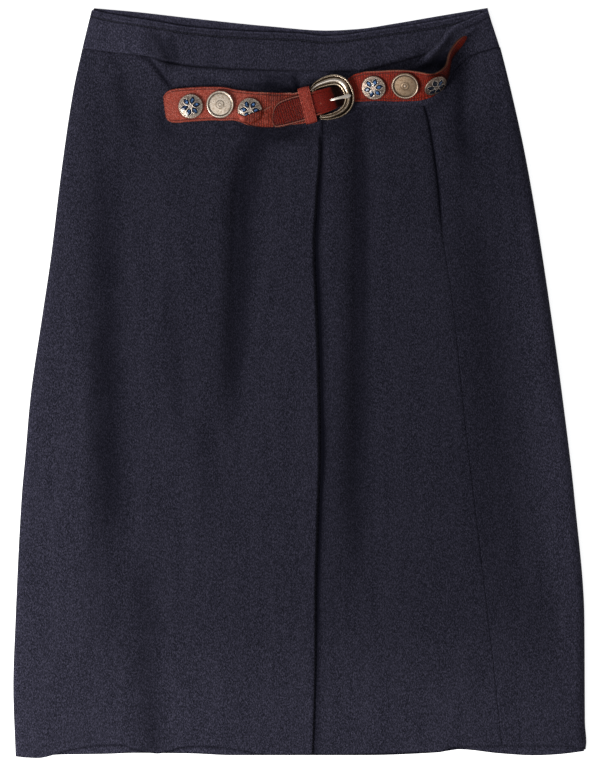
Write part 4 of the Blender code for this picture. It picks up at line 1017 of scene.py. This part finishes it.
belt = {
    "leather": 2.2,
    "lift": 0.45,             # how far it lies above the cloth
    "step": 1.1,              # from one section of its mesh to the next
    "stitchInset": 2.3, "ringShade": 0.4,
    "rings": {    # painted shade round each concho where it sits on the leather: x, off the middle line, radius
        "left": [(-102.8, -1.8, 11.6), (-75.0, -0.7, 13.0), (-47.0, -2.0, 11.6)],
        "right": [(69.8, -0.8, 11.6), (98.9, 1.2, 13.0), (124.9, -0.2, 11.2)]},
}
leftStrap = [  # x, y, half width, least height of the underside
    (-127.4, 258.8, 9.0, 0.0), (-125.8, 259.0, 12.2, 0.0), (-122.8, 259.2, 14.7, 0.0),
    (-118.6, 259.6, 15.8, 0.0), (-107.0, 260.7, 16.1, 0.0), (-94.0, 261.6, 16.1, 0.0),
    (-82.0, 262.0, 15.9, 0.0), (-70.0, 261.5, 15.7, 0.0), (-61.0, 260.5, 14.6, 0.0),
    (-55.4, 259.7, 14.8, 5.0), (-46.0, 257.4, 15.9, 5.8), (-35.0, 256.8, 15.9, 6.4),
    (-22.0, 256.5, 15.6, 6.8), (-9.0, 257.2, 15.0, 7.2)]
leftStrapEnd = [  # from the bar, across, half width, height of the underside
    (-17.0, 1.0, 15.0, 7.5), (-12.0, 0.8, 14.8, 8.5), (-8.0, 0.5, 14.0, 9.8),
    (-4.6, 0.0, 11.8, 10.7), (0.0, 0.0, 11.4, 10.7)]
billet = [  # from the bar, across, half width, height of the underside
    (-44.9, -6.4, 2.0, 9.6), (-44.2, -4.9, 3.9, 9.6), (-43.2, -4.2, 5.4, 9.6),
    (-41.0, -2.1, 8.2, 9.6), (-36.4, 0.0, 11.0, 9.7), (-32.0, 0.6, 12.0, 9.7),
    (-27.0, 0.7, 12.4, 9.8), (-17.0, 0.4, 12.6, 10.1), (-12.0, 0.1, 12.4, 11.1),
    (-8.0, -0.1, 12.1, 12.4), (-4.6, -0.1, 11.6, 13.3), (0.0, 0.0, 11.4, 13.4),
    (10.2, 0.0, 11.0, 13.3), (16.0, 0.2, 10.4, 11.3), (20.0, 0.4, 9.7, 7.9),
    (23.5, 0.6, 9.4, 5.5), (28.0, 1.0, 9.8, 5.2), (33.0, 1.5, 10.7, 5.2)]
rightStrap = [  # x, y, half width, tilt in degrees
    (53.0, 276.4, 12.8, 0.0), (60.0, 277.9, 13.8, 10.0), (73.1, 278.7, 14.6, 21.0),
    (88.1, 278.9, 15.7, 26.0), (103.1, 278.7, 15.5, 28.0), (110.5, 278.4, 15.0, 30.0),
    (116.5, 278.8, 14.2, 34.0), (121.5, 279.8, 13.7, 40.0), (126.0, 282.1, 12.5, 47.0),
    (129.8, 284.8, 11.1, 53.0), (132.7, 287.7, 10.5, 60.0), (135.3, 291.1, 9.5, 66.0),
    (137.3, 295.4, 7.9, 72.0), (138.6, 300.1, 6.9, 76.0), (139.5, 304.3, 6.8, 75.0),
    (141.9, 309.4, 7.6, 72.0), (145.7, 315.1, 6.9, 67.0), (149.6, 319.8, 5.7, 62.0),
    (152.9, 323.5, 3.4, 58.0), (154.6, 325.3, 1.6, 57.0)]
underEdge = (1.0, 0.6, 0.2, -0.2, -0.6, -1.0)


def beltPoint(out, across, height):
    turn = bar["turn"]
    return np.array([bar["x"] + out * math.cos(turn) - across * math.sin(turn),
                     bar["y"] + out * math.sin(turn) + across * math.cos(turn), height])


beltSide = np.array([-math.sin(bar["turn"]), math.cos(bar["turn"]), 0.0])


def sideAt(places, index):
    run = unit(places[min(index + 1, len(places) - 1)] - places[max(index - 1, 0)])
    return np.array([-run[1], run[0], 0.0])


def plainUnderHeight(x, y):
    # the under-panel's height without its small creases, which the strap bridges
    left, wrap = underRolls(x, y)
    body = (skirt["puff"] + largeRelief(x, y)[0]) * waistFade(y) * (1 - pressed(x, y))
    return onBack + np.maximum(body, 0) * left * wrap


def leftStations():
    places = [np.array([x, y, 0.0]) for x, y, *_ in leftStrap]
    stations = []
    for index, (x, y, half, least) in enumerate(leftStrap):
        side = sideAt(places, index)
        below = max(float(plainUnderHeight(*(places[index] + side * half * s)[:2])) for s in underEdge)
        stations.append((np.array([x, y, max(below + skirt["cloth"] + belt["lift"], least)]), side, half))
    for out, across, half, height in leftStrapEnd:
        stations.append((beltPoint(out, across, height), beltSide, half))
    return stations


def turnedStations():
    inner = bar["radius"] + skirt["gap"]
    stations = [(beltPoint(inner * math.cos(a), 0.0, bar["z"] + inner * math.sin(a)), beltSide, 11.4)
                for a in np.radians([75, 60, 45, 30, 15, 0, -15, -30, -45, -60, -75, -90])]
    return stations + [(beltPoint(out, 0.0, bar["z"] - inner), beltSide, half)
                       for out, half in ((-5.0, 11.6), (-11.0, 12.4), (-18.0, 13.0))]


def rightStations():
    stations = [(beltPoint(out, across, height), beltSide, half) for out, across, half, height in billet]
    places = [np.array([x, y, 0.0]) for x, y, *_ in rightStrap]
    for index, (x, y, half, tilt) in enumerate(rightStrap):
        lean = math.radians(tilt)
        side = sideAt(places, index) * math.cos(lean) + np.array([0, 0, math.sin(lean)])
        height = float(overBase(x)) + skirt["band"] + belt["lift"] + half * math.sin(lean)
        stations.append((np.array([x, y, height]), side, half))
    return stations


def softStations(stations, step):
    # many stations on a smooth line through the given ones
    rows = np.array([[*place, *side, half] for place, side, half in stations])
    length = lengthsAlong(rows[:, :3])
    at = np.concatenate([np.arange(0, length[-1], step), [length[-1]]])
    span = np.diff(length)
    slope = np.diff(rows, axis=0) / span[:, None]
    tangents = np.vstack([slope[:1], (slope[:-1] * span[1:, None] + slope[1:] * span[:-1, None])
                          / (span[1:] + span[:-1])[:, None], slope[-1:]])
    soft = blendRows(at, length, rows, tangents)
    return at, soft[:, :3], unit(soft[:, 3:6]), soft[:, 6]


def strapSection(half):
    # one loop round the strap, from its face over the cut edges to the flesh side: across and height
    thick = belt["leather"]
    inset = np.array([0.12, 0.4, 0.85, 1.4, 1.8, 2.1, 2.3, 2.5, 2.8, 3.3, 4.2]) * min(1.0, half / 7.0)
    rise = np.array([-.3, -.1, -.02, 0, -.08, -.2, -.26, -.2, -.08, 0, 0])
    inner = np.linspace(-(half - inset[-1]), half - inset[-1], 17)[1:-1]
    across = np.concatenate([-half + inset, inner, (half - inset)[::-1]])
    height = thick + np.concatenate([rise, 0 * inner, rise[::-1]])
    across = np.concatenate([across, [half, half - 0.05, half - 0.5], np.linspace(half - 2, -half + 2, 6),
                             [-half + 0.5, -half + 0.05, -half]])
    height = np.concatenate([height, [thick - 0.7, 0.5, 0.0], np.zeros(6), [0.0, 0.5, thick - 0.7]])
    return across, height


faceCount = 11 + 15 + 11      # points of that loop on the face: at each edge and between


def strapMesh(name, which, stations, leather, reliefOf, slotName, node, wearAndShade=(900, 901)):
    # wearAndShade is the stretch with its grain worn flat, by default none: past the strap's end
    at, places, side, half = softStations(stations, belt["step"])
    run = unit(np.gradient(places, axis=0))
    up = unit(np.cross(run, side))
    vertices, place, shade = [], [], []
    level = np.linalg.norm(run[:, :2], axis=1) > 0.7
    level &= places[:, 0] > 53 if which == "right" else places[:, 0] < -16
    rings = [(np.interp(x, places[level, 0], at[level]), off, radius)
             for x, off, radius in belt["rings"][which]]
    for k in range(len(at)):
        across, height = strapSection(half[k])
        lift, dark, paintedEdgeShade = reliefOf(at[k], across, half[k])
        # painted shade in a ring round each concho
        for middle, off, radius in rings:
            away = np.hypot(at[k] - middle, across - off) - radius
            dark = dark + belt["ringShade"] * bell(away - 0.2, 0.7)
        onFace = np.arange(len(across)) < faceCount
        height = height + np.where(onFace, lift, np.where(height > 0.3, lift, lift * 0.85))
        vertices.append(places[k] + side[k] * across[:, None] + up[k] * height[:, None])
        flat = fade(wearAndShade[0] - 3, wearAndShade[0], at[k]) * fade(wearAndShade[1] + 3, wearAndShade[1], at[k])
        place.append(np.stack([np.full(len(across), at[k]), across, 0 * across + flat], 1))
        shade.append(np.where(onFace, dark, paintedEdgeShade))
    loop = len(vertices[0])
    slots = np.tile(np.arange(loop) >= faceCount - 1, len(at) - 1).tolist() + [True, True]
    piece = finishPiece(name, np.concatenate(vertices), tubeFaces(len(at), loop, flip=True),
                        [leather, cutLeatherEdge], slots, np.concatenate(shade), np.concatenate(place))
    dress(piece, slotName, node)
    return at, places, side, half, up


def stitchGroove(inset):
    # painted shade in the line that the stitching pulls down along the edge
    return 0.5 * bell(inset - belt["stitchInset"], 0.45)


# For one section of a strap: how far its face rises, and the painted shade and highlight on its face and on
# its cut edge
def leftRelief(at, across, half):
    crinkle = 0.2 * softNoise(at, across, 2.6, 41) + 0.14 * softNoise(at * 0.4, across, 1.6, 42)
    crinkle = crinkle * fade(60, 90, at) * (at < 118)
    inset = half - np.abs(across)
    # painted highlight along the top edge
    edge = -0.5 * bell(half - across - 0.5, 0.5) * fade(80, 90, at)
    # painted shadow beside the flap
    shadow = 0.4 * fade(94, 102, at) * fade(116, 110, at) * fade(4, 9, across)
    # painted contact shadow along the outer edge of the strap's first 80 mm
    rim = 0.6 * bell(np.minimum(inset, at), 0.8) * fade(92, 80, at)
    # 0.45 is painted shade on the cut edge and the flesh side
    return crinkle, stitchGroove(inset) + edge + shadow + rim, 0.45


def rightRelief(at, across, half):
    # the billet's tip has a pale skived edge between two dark creased lines
    inset = half - np.abs(across)
    outline = np.minimum(inset, at)
    tip = fade(54, 44, at)
    lines = tip * (0.7 * bell(outline - 0.1, 0.35) - 0.55 * bell(outline - 1.1, 0.5)
                   + 0.9 * bell(outline - 2.3, 0.5))
    # painted shade where the billet dips under the buckle's frame
    under = fade(62.5, 66.5, at) * fade(83, 76, at) + 0.2 * fade(44, 56, at) * fade(80, 70, at)
    # painted highlight in the spare hole
    spare = -0.5 * bell(at - 51.5, 0.9) * bell(across + 1.5, 0.9)
    border = stitchGroove(inset) * fade(85, 92, at)
    # painted shade on the upright stretch, which turns away from the light
    upright = (0.5 + 0.35 * fade(0.2, -0.8, across / half)) * fade(154, 168, at) * fade(209, 200, at)
    # painted highlight along the top edge
    rim = -0.35 * bell(half - across - 0.4, 0.4) * fade(96, 104, at) * fade(170, 160, at)
    # painted shade on the cut edge, heaviest on the upright stretch
    paintedEdgeShade = 0.25 + 0.65 * fade(154, 168, at)
    dark = lines + border + 0.95 * under + spare + upright + rim
    return 0.12 * softNoise(at, across, 2.4, 43), dark, paintedEdgeShade


leftLine = strapMesh("leftStrapLeather", "left", leftStations() + turnedStations(), strapLeather,
                     leftRelief, "red_leather", "belt_left_strap")
rightLine = strapMesh("rightStrapLeather", "right", rightStations(), billetLeather, rightRelief,
                      "red_leather", "belt_right_strap", (39, 62))
strapFlap = {   # rows from left to right: the lip's x, y, then the lower edge's x, y
    "edges": [(-59.2, 253.6, -59.2, 250.6), (-56.7, 251.8, -57.6, 247.4), (-53.7, 250.3, -55.0, 244.8),
              (-50.1, 250.6, -51.6, 243.6), (-46.2, 252.2, -48.1, 242.0), (-42.0, 253.5, -44.4, 240.8),
              (-38.2, 254.9, -39.2, 240.0), (-34.4, 256.6, -34.6, 239.8), (-30.6, 258.7, -30.4, 239.7),
              (-27.4, 260.2, -27.2, 239.7), (-25.2, 260.8, -25.2, 239.7)],
    "concho": (-46.9, 255.3),     # what it lies over, and how high that stands at each radius
    "clears": [(0.0, 5.0), (4.0, 4.7), (8.0, 3.9), (10.4, 3.1), (11.2, 2.6), (11.8, 1.4), (13.4, 0.3),
               (15.0, 0.0)],
    "thick": 1.4, "columns": 84, "rows": 40,
}


def addFlap():
    # the buckled layer of the left strap, which lies over the lower half of the third concho
    edges = np.array(strapFlap["edges"], float)
    at = np.linspace(0, len(edges) - 1, strapFlap["columns"])
    lipX, lipY, lowX, lowY = (smoothLine(list(enumerate(column)))(at) for column in edges.T)
    share = np.linspace(0, 1, strapFlap["rows"])[:, None]
    x, y = lipX + share * (lowX - lipX), lipY + share * (lowY - lipY)
    wide = np.hypot(lipX - lowX, lipY - lowY)
    places = leftLine[1]
    front = places[:, 0] < -10
    base = np.interp(x, places[front, 0], places[front, 2]) + belt["leather"]
    reach = np.hypot(x - strapFlap["concho"][0], y - strapFlap["concho"][1])
    body = fade(-25.4, -33.0, x) * fade(-59.4, -56.0, x)
    crinkle = (0.3 * softNoise(x, y, 2.6, 45) + 0.25 * softNoise(x + y, x - y, 4.5, 46)) * fade(-44, -36, x)
    top = (base + 0.08 + strapFlap["thick"] * body + smoothLine(strapFlap["clears"])(reach)
           + crinkle * body)
    low = np.maximum(top - strapFlap["thick"], base - 0.6)
    lip, hem = share * wide, (1 - share) * wide
    top = low + (top - low) * np.maximum(rollUp(lip, 1.0) * rollUp(hem, 1.2), 0.1)
    crest = bell(lip - 1.2, 0.6) * fade(-36, -33, x) * fade(-26, -28, x)
    # painted shade under the lip, at the left and along the lower edge, with a painted highlight along the
    # crest
    shade = (0.5 * bell(lip, 0.7) * body - 0.5 * crest
             + 0.3 * fade(-35, -41, x) * fade(-55, -50, x) + 0.6 * fade(1.2, 0.3, hem))
    faces = [face[::-1] for face in shellFaces(*x.shape)]
    vertices = np.concatenate([np.stack([x, y, z], 2).reshape(-1, 3) for z in (top, low)])
    place = np.stack([x + 128.0 + 18.0 * fade(-54, -50, x), y, 0 * x], 2).reshape(-1, 3)
    piece = finishPiece("strapFlap", vertices, faces, [strapLeather],
                        shade=np.concatenate([shade.ravel(), shade.ravel()]),
                        place=np.concatenate([place, place]))
    dress(piece, "red_leather")


addFlap()
print("straps ready")

keeperSize = {
    "at": -8.6, "across": 1.0, "turn": -4.0,     # from the buckle's bar, and degrees
    "length": 11.0, "half": 17.1, "bottom": 3.0, "top": 17.1, "wall": 1.3, "corner": 2.4,
}


def addKeeper():
    size = keeperSize
    # points round its outline, on the line through its corners' middles, each with its way out
    wide, tall = size["half"] - size["corner"], (size["top"] - size["bottom"]) / 2 - size["corner"]
    corners = [(wide, tall), (-wide, tall), (-wide, -tall), (wide, -tall)]
    ring = []
    for quarter, (here, there) in enumerate(zip(corners, corners[1:] + corners[:1])):
        turns = np.radians(90 * quarter + 90 * np.arange(9) / 8)
        ring += [(*here, math.cos(a), math.sin(a)) for a in turns]
        ring += [(here[0] + s * (there[0] - here[0]), here[1] + s * (there[1] - here[1]), *ring[-1][2:])
                 for s in np.arange(1, 12) / 12]
    half = size["length"] / 2
    # the strip's own section: along the belt, depth from the outer face
    section = [(-half + .35, .05), (-half + .9, 0), (-half + 1.3, .16), (-half + 1.7, .02), (-half + 3, -.1),
               (0, -.14), (half - 3, -.1), (half - 1.7, .02), (half - 1.3, .16), (half - .9, 0),
               (half - .35, .05), (half - .05, .3), (half, .6), (half - .1, 1.1), (half - .5, size["wall"]),
               (0, size["wall"]), (-half + .5, size["wall"]), (-half + .1, 1.1), (-half, .6),
               (-half + .05, .3)]
    turn = Matrix.Rotation(bar["turn"] + math.radians(size["turn"]), 3, "Z")
    middle = Vector(beltPoint(size["at"], size["across"], (size["top"] + size["bottom"]) / 2))
    vertices, place, shade = [], [], []
    for k, (x, z, outX, outZ) in enumerate(ring):
        for along, depth in section:
            r = size["corner"] - depth
            vertices.append(middle + turn @ Vector((along, x + outX * r, z + outZ * r)))
            place.append((along * 1.4, k * 1.54, 0))
            # painted shade in the groove along each edge
            shade.append(0.45 if abs(abs(along) - half + 1.3) < 0.2 and depth < 0.3 else 0.0)
    faces = gridFaces(len(ring), len(section), closed=True, looped=True)
    slots = np.tile([11 <= index <= 18 for index in range(len(section))], len(ring))
    keeper = finishPiece("keeperLeather", vertices, faces, [keeperLeather, cutLeatherEdge], slots, shade,
                         place)
    dress(keeper, "red_leather", "belt_keeper")


buckle = {
    "tilt": -3.5, "step": 0.42, "barLength": 28.0, "barSides": 20,
    "ropePitch": 1.55, "rope": 0.26,     # the twisted ridge: from strand to strand, and its height
}
prong = {
    "step": 0.5, "sides": 16,
    "square": 0.7,            # a round section at 1, squarer below it
}
buckleFrame = [  # from the bar, across, width of the metal
    (-1.6, 13.0, 3.6), (1.6, 14.6, 5.6), (6.0, 16.3, 7.6), (12.0, 17.0, 9.4), (19.0, 16.8, 10.4),
    (25.4, 14.8, 10.4), (29.8, 10.4, 10.2), (31.6, 4.6, 9.9), (31.8, -1.6, 9.7),
    (30.0, -7.4, 9.5), (26.0, -12.2, 8.8), (19.6, -15.2, 7.8), (12.6, -15.9, 6.8),
    (5.6, -15.3, 5.6), (-1.2, -13.4, 3.6)]
buckleSection = [  # share from the outer edge to the inner one, height, how deep in tarnish
    (0.0, -1.3, .5), (0.0, -.2, .5), (.015, .7, .3), (.045, 1.4, .1), (.09, 1.85, 0), (.14, 1.95, 0),
    (.185, 1.6, .15), (.215, 1.0, .8), (.24, .6, 1.), (.265, .6, 1.), (.29, .95, .85), (.33, 1.5, .35),
    (.39, 2.1, .05), (.46, 2.5, 0), (.54, 2.7, 0), (.62, 2.55, 0), (.69, 2.15, .05), (.74, 1.7, .35),
    (.77, 1.25, .9), (.79, 1.15, 1.), (.81, 1.3, .8), (.845, 1.6, .2), (.89, 1.75, 0), (.94, 1.55, 0),
    (.98, 1.0, .1), (1.0, .2, .3), (1.0, -1.3, .5), (.95, -2.1, .5), (.5, -2.3, .5), (.05, -2.1, .5)]
prongPath = [  # from the bar, across, height, half width, half thickness
    (-1.5, 0.0, 11.8, 1.1, 1.0), (7.0, -0.3, 11.8, 1.2, 1.0), (11.2, -0.9, 12.1, 1.2, 1.0),
    (13.6, -1.3, 14.2, 1.05, .95), (15.2, -1.5, 15.9, 1.05, .9), (17.2, -1.7, 16.7, 1.15, .9),
    (21.0, -2.0, 16.9, 1.25, .95), (26.0, -2.4, 15.9, 1.5, .95), (30.0, -2.8, 15.0, 1.95, .85),
    (31.8, -2.9, 14.6, 1.4, .7), (33.0, -3.0, 14.3, .4, .4)]


def addBuckle():
    places = [np.array([out, across, 0.0]) for out, across, _ in buckleFrame]
    stations = [(places[k], sideAt(places, k), row[2]) for k, row in enumerate(buckleFrame)]
    at, middle, side, width = softStations(stations, buckle["step"])
    share, rise, dark = np.array(buckleSection).T
    onRope = bell(share - 0.12, 0.075) * (rise > 0)
    total = at[-1]
    vertices, shade = [], []
    for k in range(len(at)):
        close = min(1.0, (width[k] / 7.5) ** 0.8)
        upper = 0.45 + 0.55 * float(fade(total * 0.55, total * 0.4, at[k]))
        rope = np.sin(math.tau * (at[k] / buckle["ropePitch"] + 3.2 * share)) * onRope
        height = np.where(rise > 0, rise * close, rise) + buckle["rope"] * upper * rope
        out = middle[k] + side[k] * (0.5 - share)[:, None] * width[k]
        vertices.append(np.column_stack([out[:, :2], height]))
        along = at[k] / total
        # painted shade: the main band is painted darker along the frame's right-hand stretch
        wearAndShade = 0.9 * fade(0.42, 0.5, along) * fade(0.95, 0.8, along) * bell(share - 0.42, 0.2)
        # painted highlight along the main band of the upper arm
        wearAndHighlight = 0.7 * fade(0.45, 0.36, along) * bell(share - 0.52, 0.12) * (dark < 0.2)
        shade.append(np.clip(dark + 0.9 * upper * np.clip(-rope, 0, 1) * onRope + wearAndShade - wearAndHighlight, -1, 1))
    lean = Matrix.Rotation(math.radians(buckle["tilt"]), 3, "Y")
    turn = Matrix.Rotation(bar["turn"], 3, "Z")
    base = Vector(beltPoint(0.0, 0.0, bar["z"]))
    vertices = [base + turn @ (lean @ Vector(v)) for v in np.concatenate(vertices)]
    faces = tubeFaces(len(at), len(share)) + tubeFaces(2, buckle["barSides"], len(vertices), flip=True)
    for end in (-0.5, 0.5):
        vertices += [base + turn @ Vector((bar["radius"] * math.cos(a), end * buckle["barLength"],
                                           bar["radius"] * math.sin(a)))
                     for a in np.arange(buckle["barSides"]) * math.tau / buckle["barSides"]]
    shade.append(np.full(2 * buckle["barSides"], 0.4))
    dress(finishPiece("buckleSilver", vertices, faces, [oldSilver], shade=np.concatenate(shade),
                      sharpAngle=60), "old_silver", "buckle_frame")


def addProng():
    stations = [(np.array([out, across, height]), np.array([0, 1.0, 0]), half)
                for out, across, height, half, _ in prongPath]
    at, middle, side, half = softStations(stations, prong["step"])
    thick = np.interp(at, lengthsAlong([row[:3] for row in prongPath]), [row[4] for row in prongPath])
    up = np.cross(unit(np.gradient(middle, axis=0)), side)
    vertices = []
    for k in range(len(at)):
        for a in np.arange(prong["sides"]) * math.tau / prong["sides"]:
            c, s = (math.copysign(abs(t) ** prong["square"], t) for t in (math.cos(a), math.sin(a)))
            vertices.append(beltPoint(*(middle[k] + side[k] * half[k] * c + up[k] * thick[k] * s)))
    # painted highlight: the whole prong is painted paler
    dress(finishPiece("prongSilver", vertices, tubeFaces(len(at), prong["sides"], flip=True),
                      [dishSilver], shade=[-0.5] * len(vertices)), "old_silver", "buckle_prong")


addKeeper()
addBuckle()
addProng()
print("buckle ready")

concho = {
    "rings": 44, "steps": 132,
    "stone": (2.2, 9.4, 2.25), "petal": (4.4, 9.6, 0.9),     # its two ends and its half width
    "stoneRise": 1.05,
    "postRadius": 4.0, "post": 0.8,     # the post under it goes up to here
    "lean": (0.44, -0.70, 0.56),     # the way the last one faces, on its curled stretch of strap
}
conchoPlaces = [  # name, kind, strap, x where it is fixed, off the middle line, its flower's turn, metal
    ("concho_1_flower", "flower", "left", -102.8, -1.8, 14.0, flowerSilver),
    ("concho_2_plain", "plain", "left", -75.0, -0.7, 0.0, dishSilver),
    ("concho_3_flower", "flower", "left", -47.0, -2.0, -3.0, flowerSilver),
    ("concho_4_flower", "flower", "right", 69.8, -0.8, 12.0, flowerSilverInShade),
    ("concho_5_plain", "plain", "right", 98.9, 1.2, 0.0, dishSilverInShade),
    ("concho_6_flower", "flower", "right", 124.9, -0.2, 15.0, flowerSilverInDeepShade)]
plainProfile = [  # radius, height, how deep in tarnish
    (0, 2.85, -.4), (.9, 2.8, -.3), (1.3, 2.65, .5), (1.7, 2.6, .5), (2.2, 2.75, .1), (3.0, 2.72, .1),
    (3.6, 2.56, .5), (4.0, 2.5, .5), (4.6, 2.5, 0), (7.5, 2.25, 0), (9.4, 2.1, .1), (10.1, 2.0, .7),
    (10.5, 2.05, .95), (10.9, 2.5, .5), (11.3, 3.0, -.1), (11.8, 3.2, -.3), (12.2, 3.1, -.1),
    (12.6, 2.7, .1), (12.8, 2.0, .3), (12.75, 1.3, .6), (12.3, 1.0, .8)]
flowerProfile = [
    (0, 4.4, 0), (2.0, 4.3, 0), (4.0, 4.05, 0), (6.0, 3.7, 0), (8.0, 3.15, 0), (9.4, 2.65, 0),
    (10.0, 2.4, .5), (10.3, 2.4, .5), (10.7, 2.45, 0), (11.1, 2.2, 0), (11.4, 1.75, .2),
    (11.35, 1.2, .6), (11.0, 0.9, .8)]


def marquise(u, halfLength, halfWidth):
    return halfWidth * np.clip(1 - (u / halfLength) ** 2, 0, 1)


def pointedOval(r, a, turn, oval, spareLength=0.0, spareWidth=0.0):
    # places along and across an oval that points outwards, its half length, and how far past its edge
    first, last, half = concho[oval]
    reach = (last - first) / 2
    u, v = r * np.cos(a - turn) - (first + last) / 2, r * np.sin(a - turn)
    return u, v, reach, np.abs(v) - marquise(u, reach + spareLength, half + spareWidth)


def conchoFace(kind, turn):
    # polar grid over the face: radius, angle, height and tarnish
    path = np.array(plainProfile if kind == "plain" else flowerProfile, float)
    step = lengthsAlong(path[:, :2])
    radius, height, dark = columnsAt(np.linspace(0, step[-1], concho["rings"])[1:], step, path).T
    r, a = np.meshgrid(radius, np.arange(concho["steps"]) * math.tau / concho["steps"], indexing="ij")
    h, d = height[:, None] + 0 * r, dark[:, None] + 0 * r
    if kind == "plain":
        # painted shade on the low side of each radial ray, standing in for the dish's radial sheen
        rays = np.sin(a * 34) * bell(r - 7.0, 2.2)
        return r, a, h + 0.035 * rays, np.clip(d + 0.12 * np.clip(-rays, 0, 1), -1, 1)
    d = d + 0.2 * fade(9.9, 9.3, r)
    for k in range(6):
        u, v, reach, edge = pointedOval(r, a, math.radians(turn + 60 * k), "stone", .35, .25)
        near = np.abs(u) < reach + .5
        bezel = bell(edge - .15, .36) * near
        h = h + 0.3 * bezel - 0.3 * (edge < -.25) * near
        d = d - 1.1 * bezel + 0.6 * bell(edge - .75, .25) * near
        u, v, reach, edge = pointedOval(r, a, math.radians(turn + 30 + 60 * k), "petal")
        line = (bell(edge, .24) * (np.abs(u) < reach + .2)
                + .7 * bell(v, .2) * (np.abs(u) < reach * .6))
        h = h - 0.2 * line
        d = d + 0.6 * line
    ticks = np.clip(np.sin(a * 30), 0, 1) ** 2 * bell(r - 10.9, .5)
    return r, a, h - 0.22 * ticks, np.clip(d + 0.5 * ticks, -1, 1)


def onStrap(stations, x, off):
    # a place on a strap's face, and the way up from it
    for (first, side, _), (second, nextSide, _) in zip(stations, stations[1:]):
        if first[0] <= x < second[0]:
            share = (x - first[0]) / (second[0] - first[0])
            across = unit(side + share * (nextSide - side))
            up = unit(np.cross(unit(second - first), across))
            return (first + share * (second - first) + off * across
                    + up * (belt["leather"] + skirt["gap"])), up


def addConchos():
    straps = {"left": leftStations(), "right": rightStations()}
    for name, kind, strap, x, off, turn, metal in conchoPlaces:
        middle, up = onStrap(straps[strap], x, off)
        sunk = 0.0
        if name == conchoPlaces[-1][0]:
            up, sunk = unit(np.array(concho["lean"])), 1.2
            middle = middle + up * sunk
        right = unit(np.cross(np.array([0, 1.0, 0]), up))
        ahead = np.cross(up, right)
        place = lambda u, v, w: (middle + right * np.asarray(u)[..., None] + ahead * np.asarray(v)[..., None]
                                 + up * np.asarray(w)[..., None])
        r, a, h, d = conchoFace(kind, turn)
        rings, steps = r.shape
        postX, postY = concho["postRadius"] * np.cos(a[0]), concho["postRadius"] * np.sin(a[0])
        vertices = np.concatenate([
            place(r * np.cos(a), r * np.sin(a), h).reshape(-1, 3),
            place(postX, postY, np.full(steps, concho["post"])), place(postX, postY, np.full(steps, -sunk)),
            [place(0.0, 0.0, h[0].mean() + 0.02)], [place(0.0, 0.0, -sunk)]])
        faces = gridFaces(rings + 2, steps, flip=True, closed=True)
        top = (rings + 2) * steps
        for k in range(steps):
            n = (k + 1) % steps
            faces += [[top, k, n], [top + 1, top - steps + n, top - steps + k]]
        # painted shade on the post and the underside
        shade = np.concatenate([d.ravel(), np.full(2 * steps, 0.7), [0.0], [0.7]])
        dress(finishPiece(name + "Silver", vertices, faces, [metal], shade=shade, sharpAngle=50),
              "old_silver", name)
        if kind == "flower":
            addStones(name, place, turn)


def addStones(name, place, turn):
    vertices, faces, shade = [], [], []
    first, last, half = concho["stone"]
    middle, reach = (first + last) / 2, (last - first) / 2
    rim = [(reach * t, half * (1 - t * t)) for t in (-1, -.6, -.2, .2, .6, 1)]
    rim += [(u, -v) for u, v in rim[-2:0:-1]]
    # each level's last value is painted shade, darkest at the stone's rim
    levels = ((0.0, 1.0, 1.0), (0.6, 0.99, 1.0), (0.85, 0.68, 1.0), (concho["stoneRise"], 0.42, 0.0))
    face = np.array(flowerProfile[:9])
    for k in range(6):
        a = math.radians(turn + 60 * k)
        # painted shade: on the last concho every stone but one is painted dark, and that one keeps its glint
        paintedDarkStone = name == conchoPlaces[-1][0] and k != 1
        faces += tubeFaces(len(levels), len(rim), len(vertices), flip=True)
        for rise, size, dark in levels:
            for u, v in rim:
                out, across = middle + u * size, v * size
                shade.append(max(dark, 0.97) if paintedDarkStone else dark)
                vertices.append(place(out * math.cos(a) - across * math.sin(a),
                                      out * math.sin(a) + across * math.cos(a),
                                      np.interp(out, face[:, 0], face[:, 1]) - 0.15 + rise))
    dress(finishPiece(name + "Stones", vertices, faces, [cobaltGlass], shade=shade, sharpAngle=12),
          "old_silver")


addConchos()
print("conchos ready")


def borderStitches(name, line, start, end, sign, height=2.25):
    along, places, side, half, up = line
    at = np.linspace(start, end, 160)
    middle, across, out = (columnsAt(at, along, rows) for rows in (places, side, up))
    off = sign * (np.interp(at, along, half) - belt["stitchInset"])
    stitchRun(name, middle + across * off[:, None] + out * height, out, brownThread, "red_leather",
              twist=0.12)


borderStitches("leftStitchTop", leftLine, 7.0, 112.0, 1.0)
borderStitches("leftStitchLow", leftLine, 7.0, 70.0, -1.0)
borderStitches("rightStitchTop", rightLine, 84.0, 150.0, 1.0)
borderStitches("rightStitchLow", rightLine, 84.0, 150.0, -1.0)
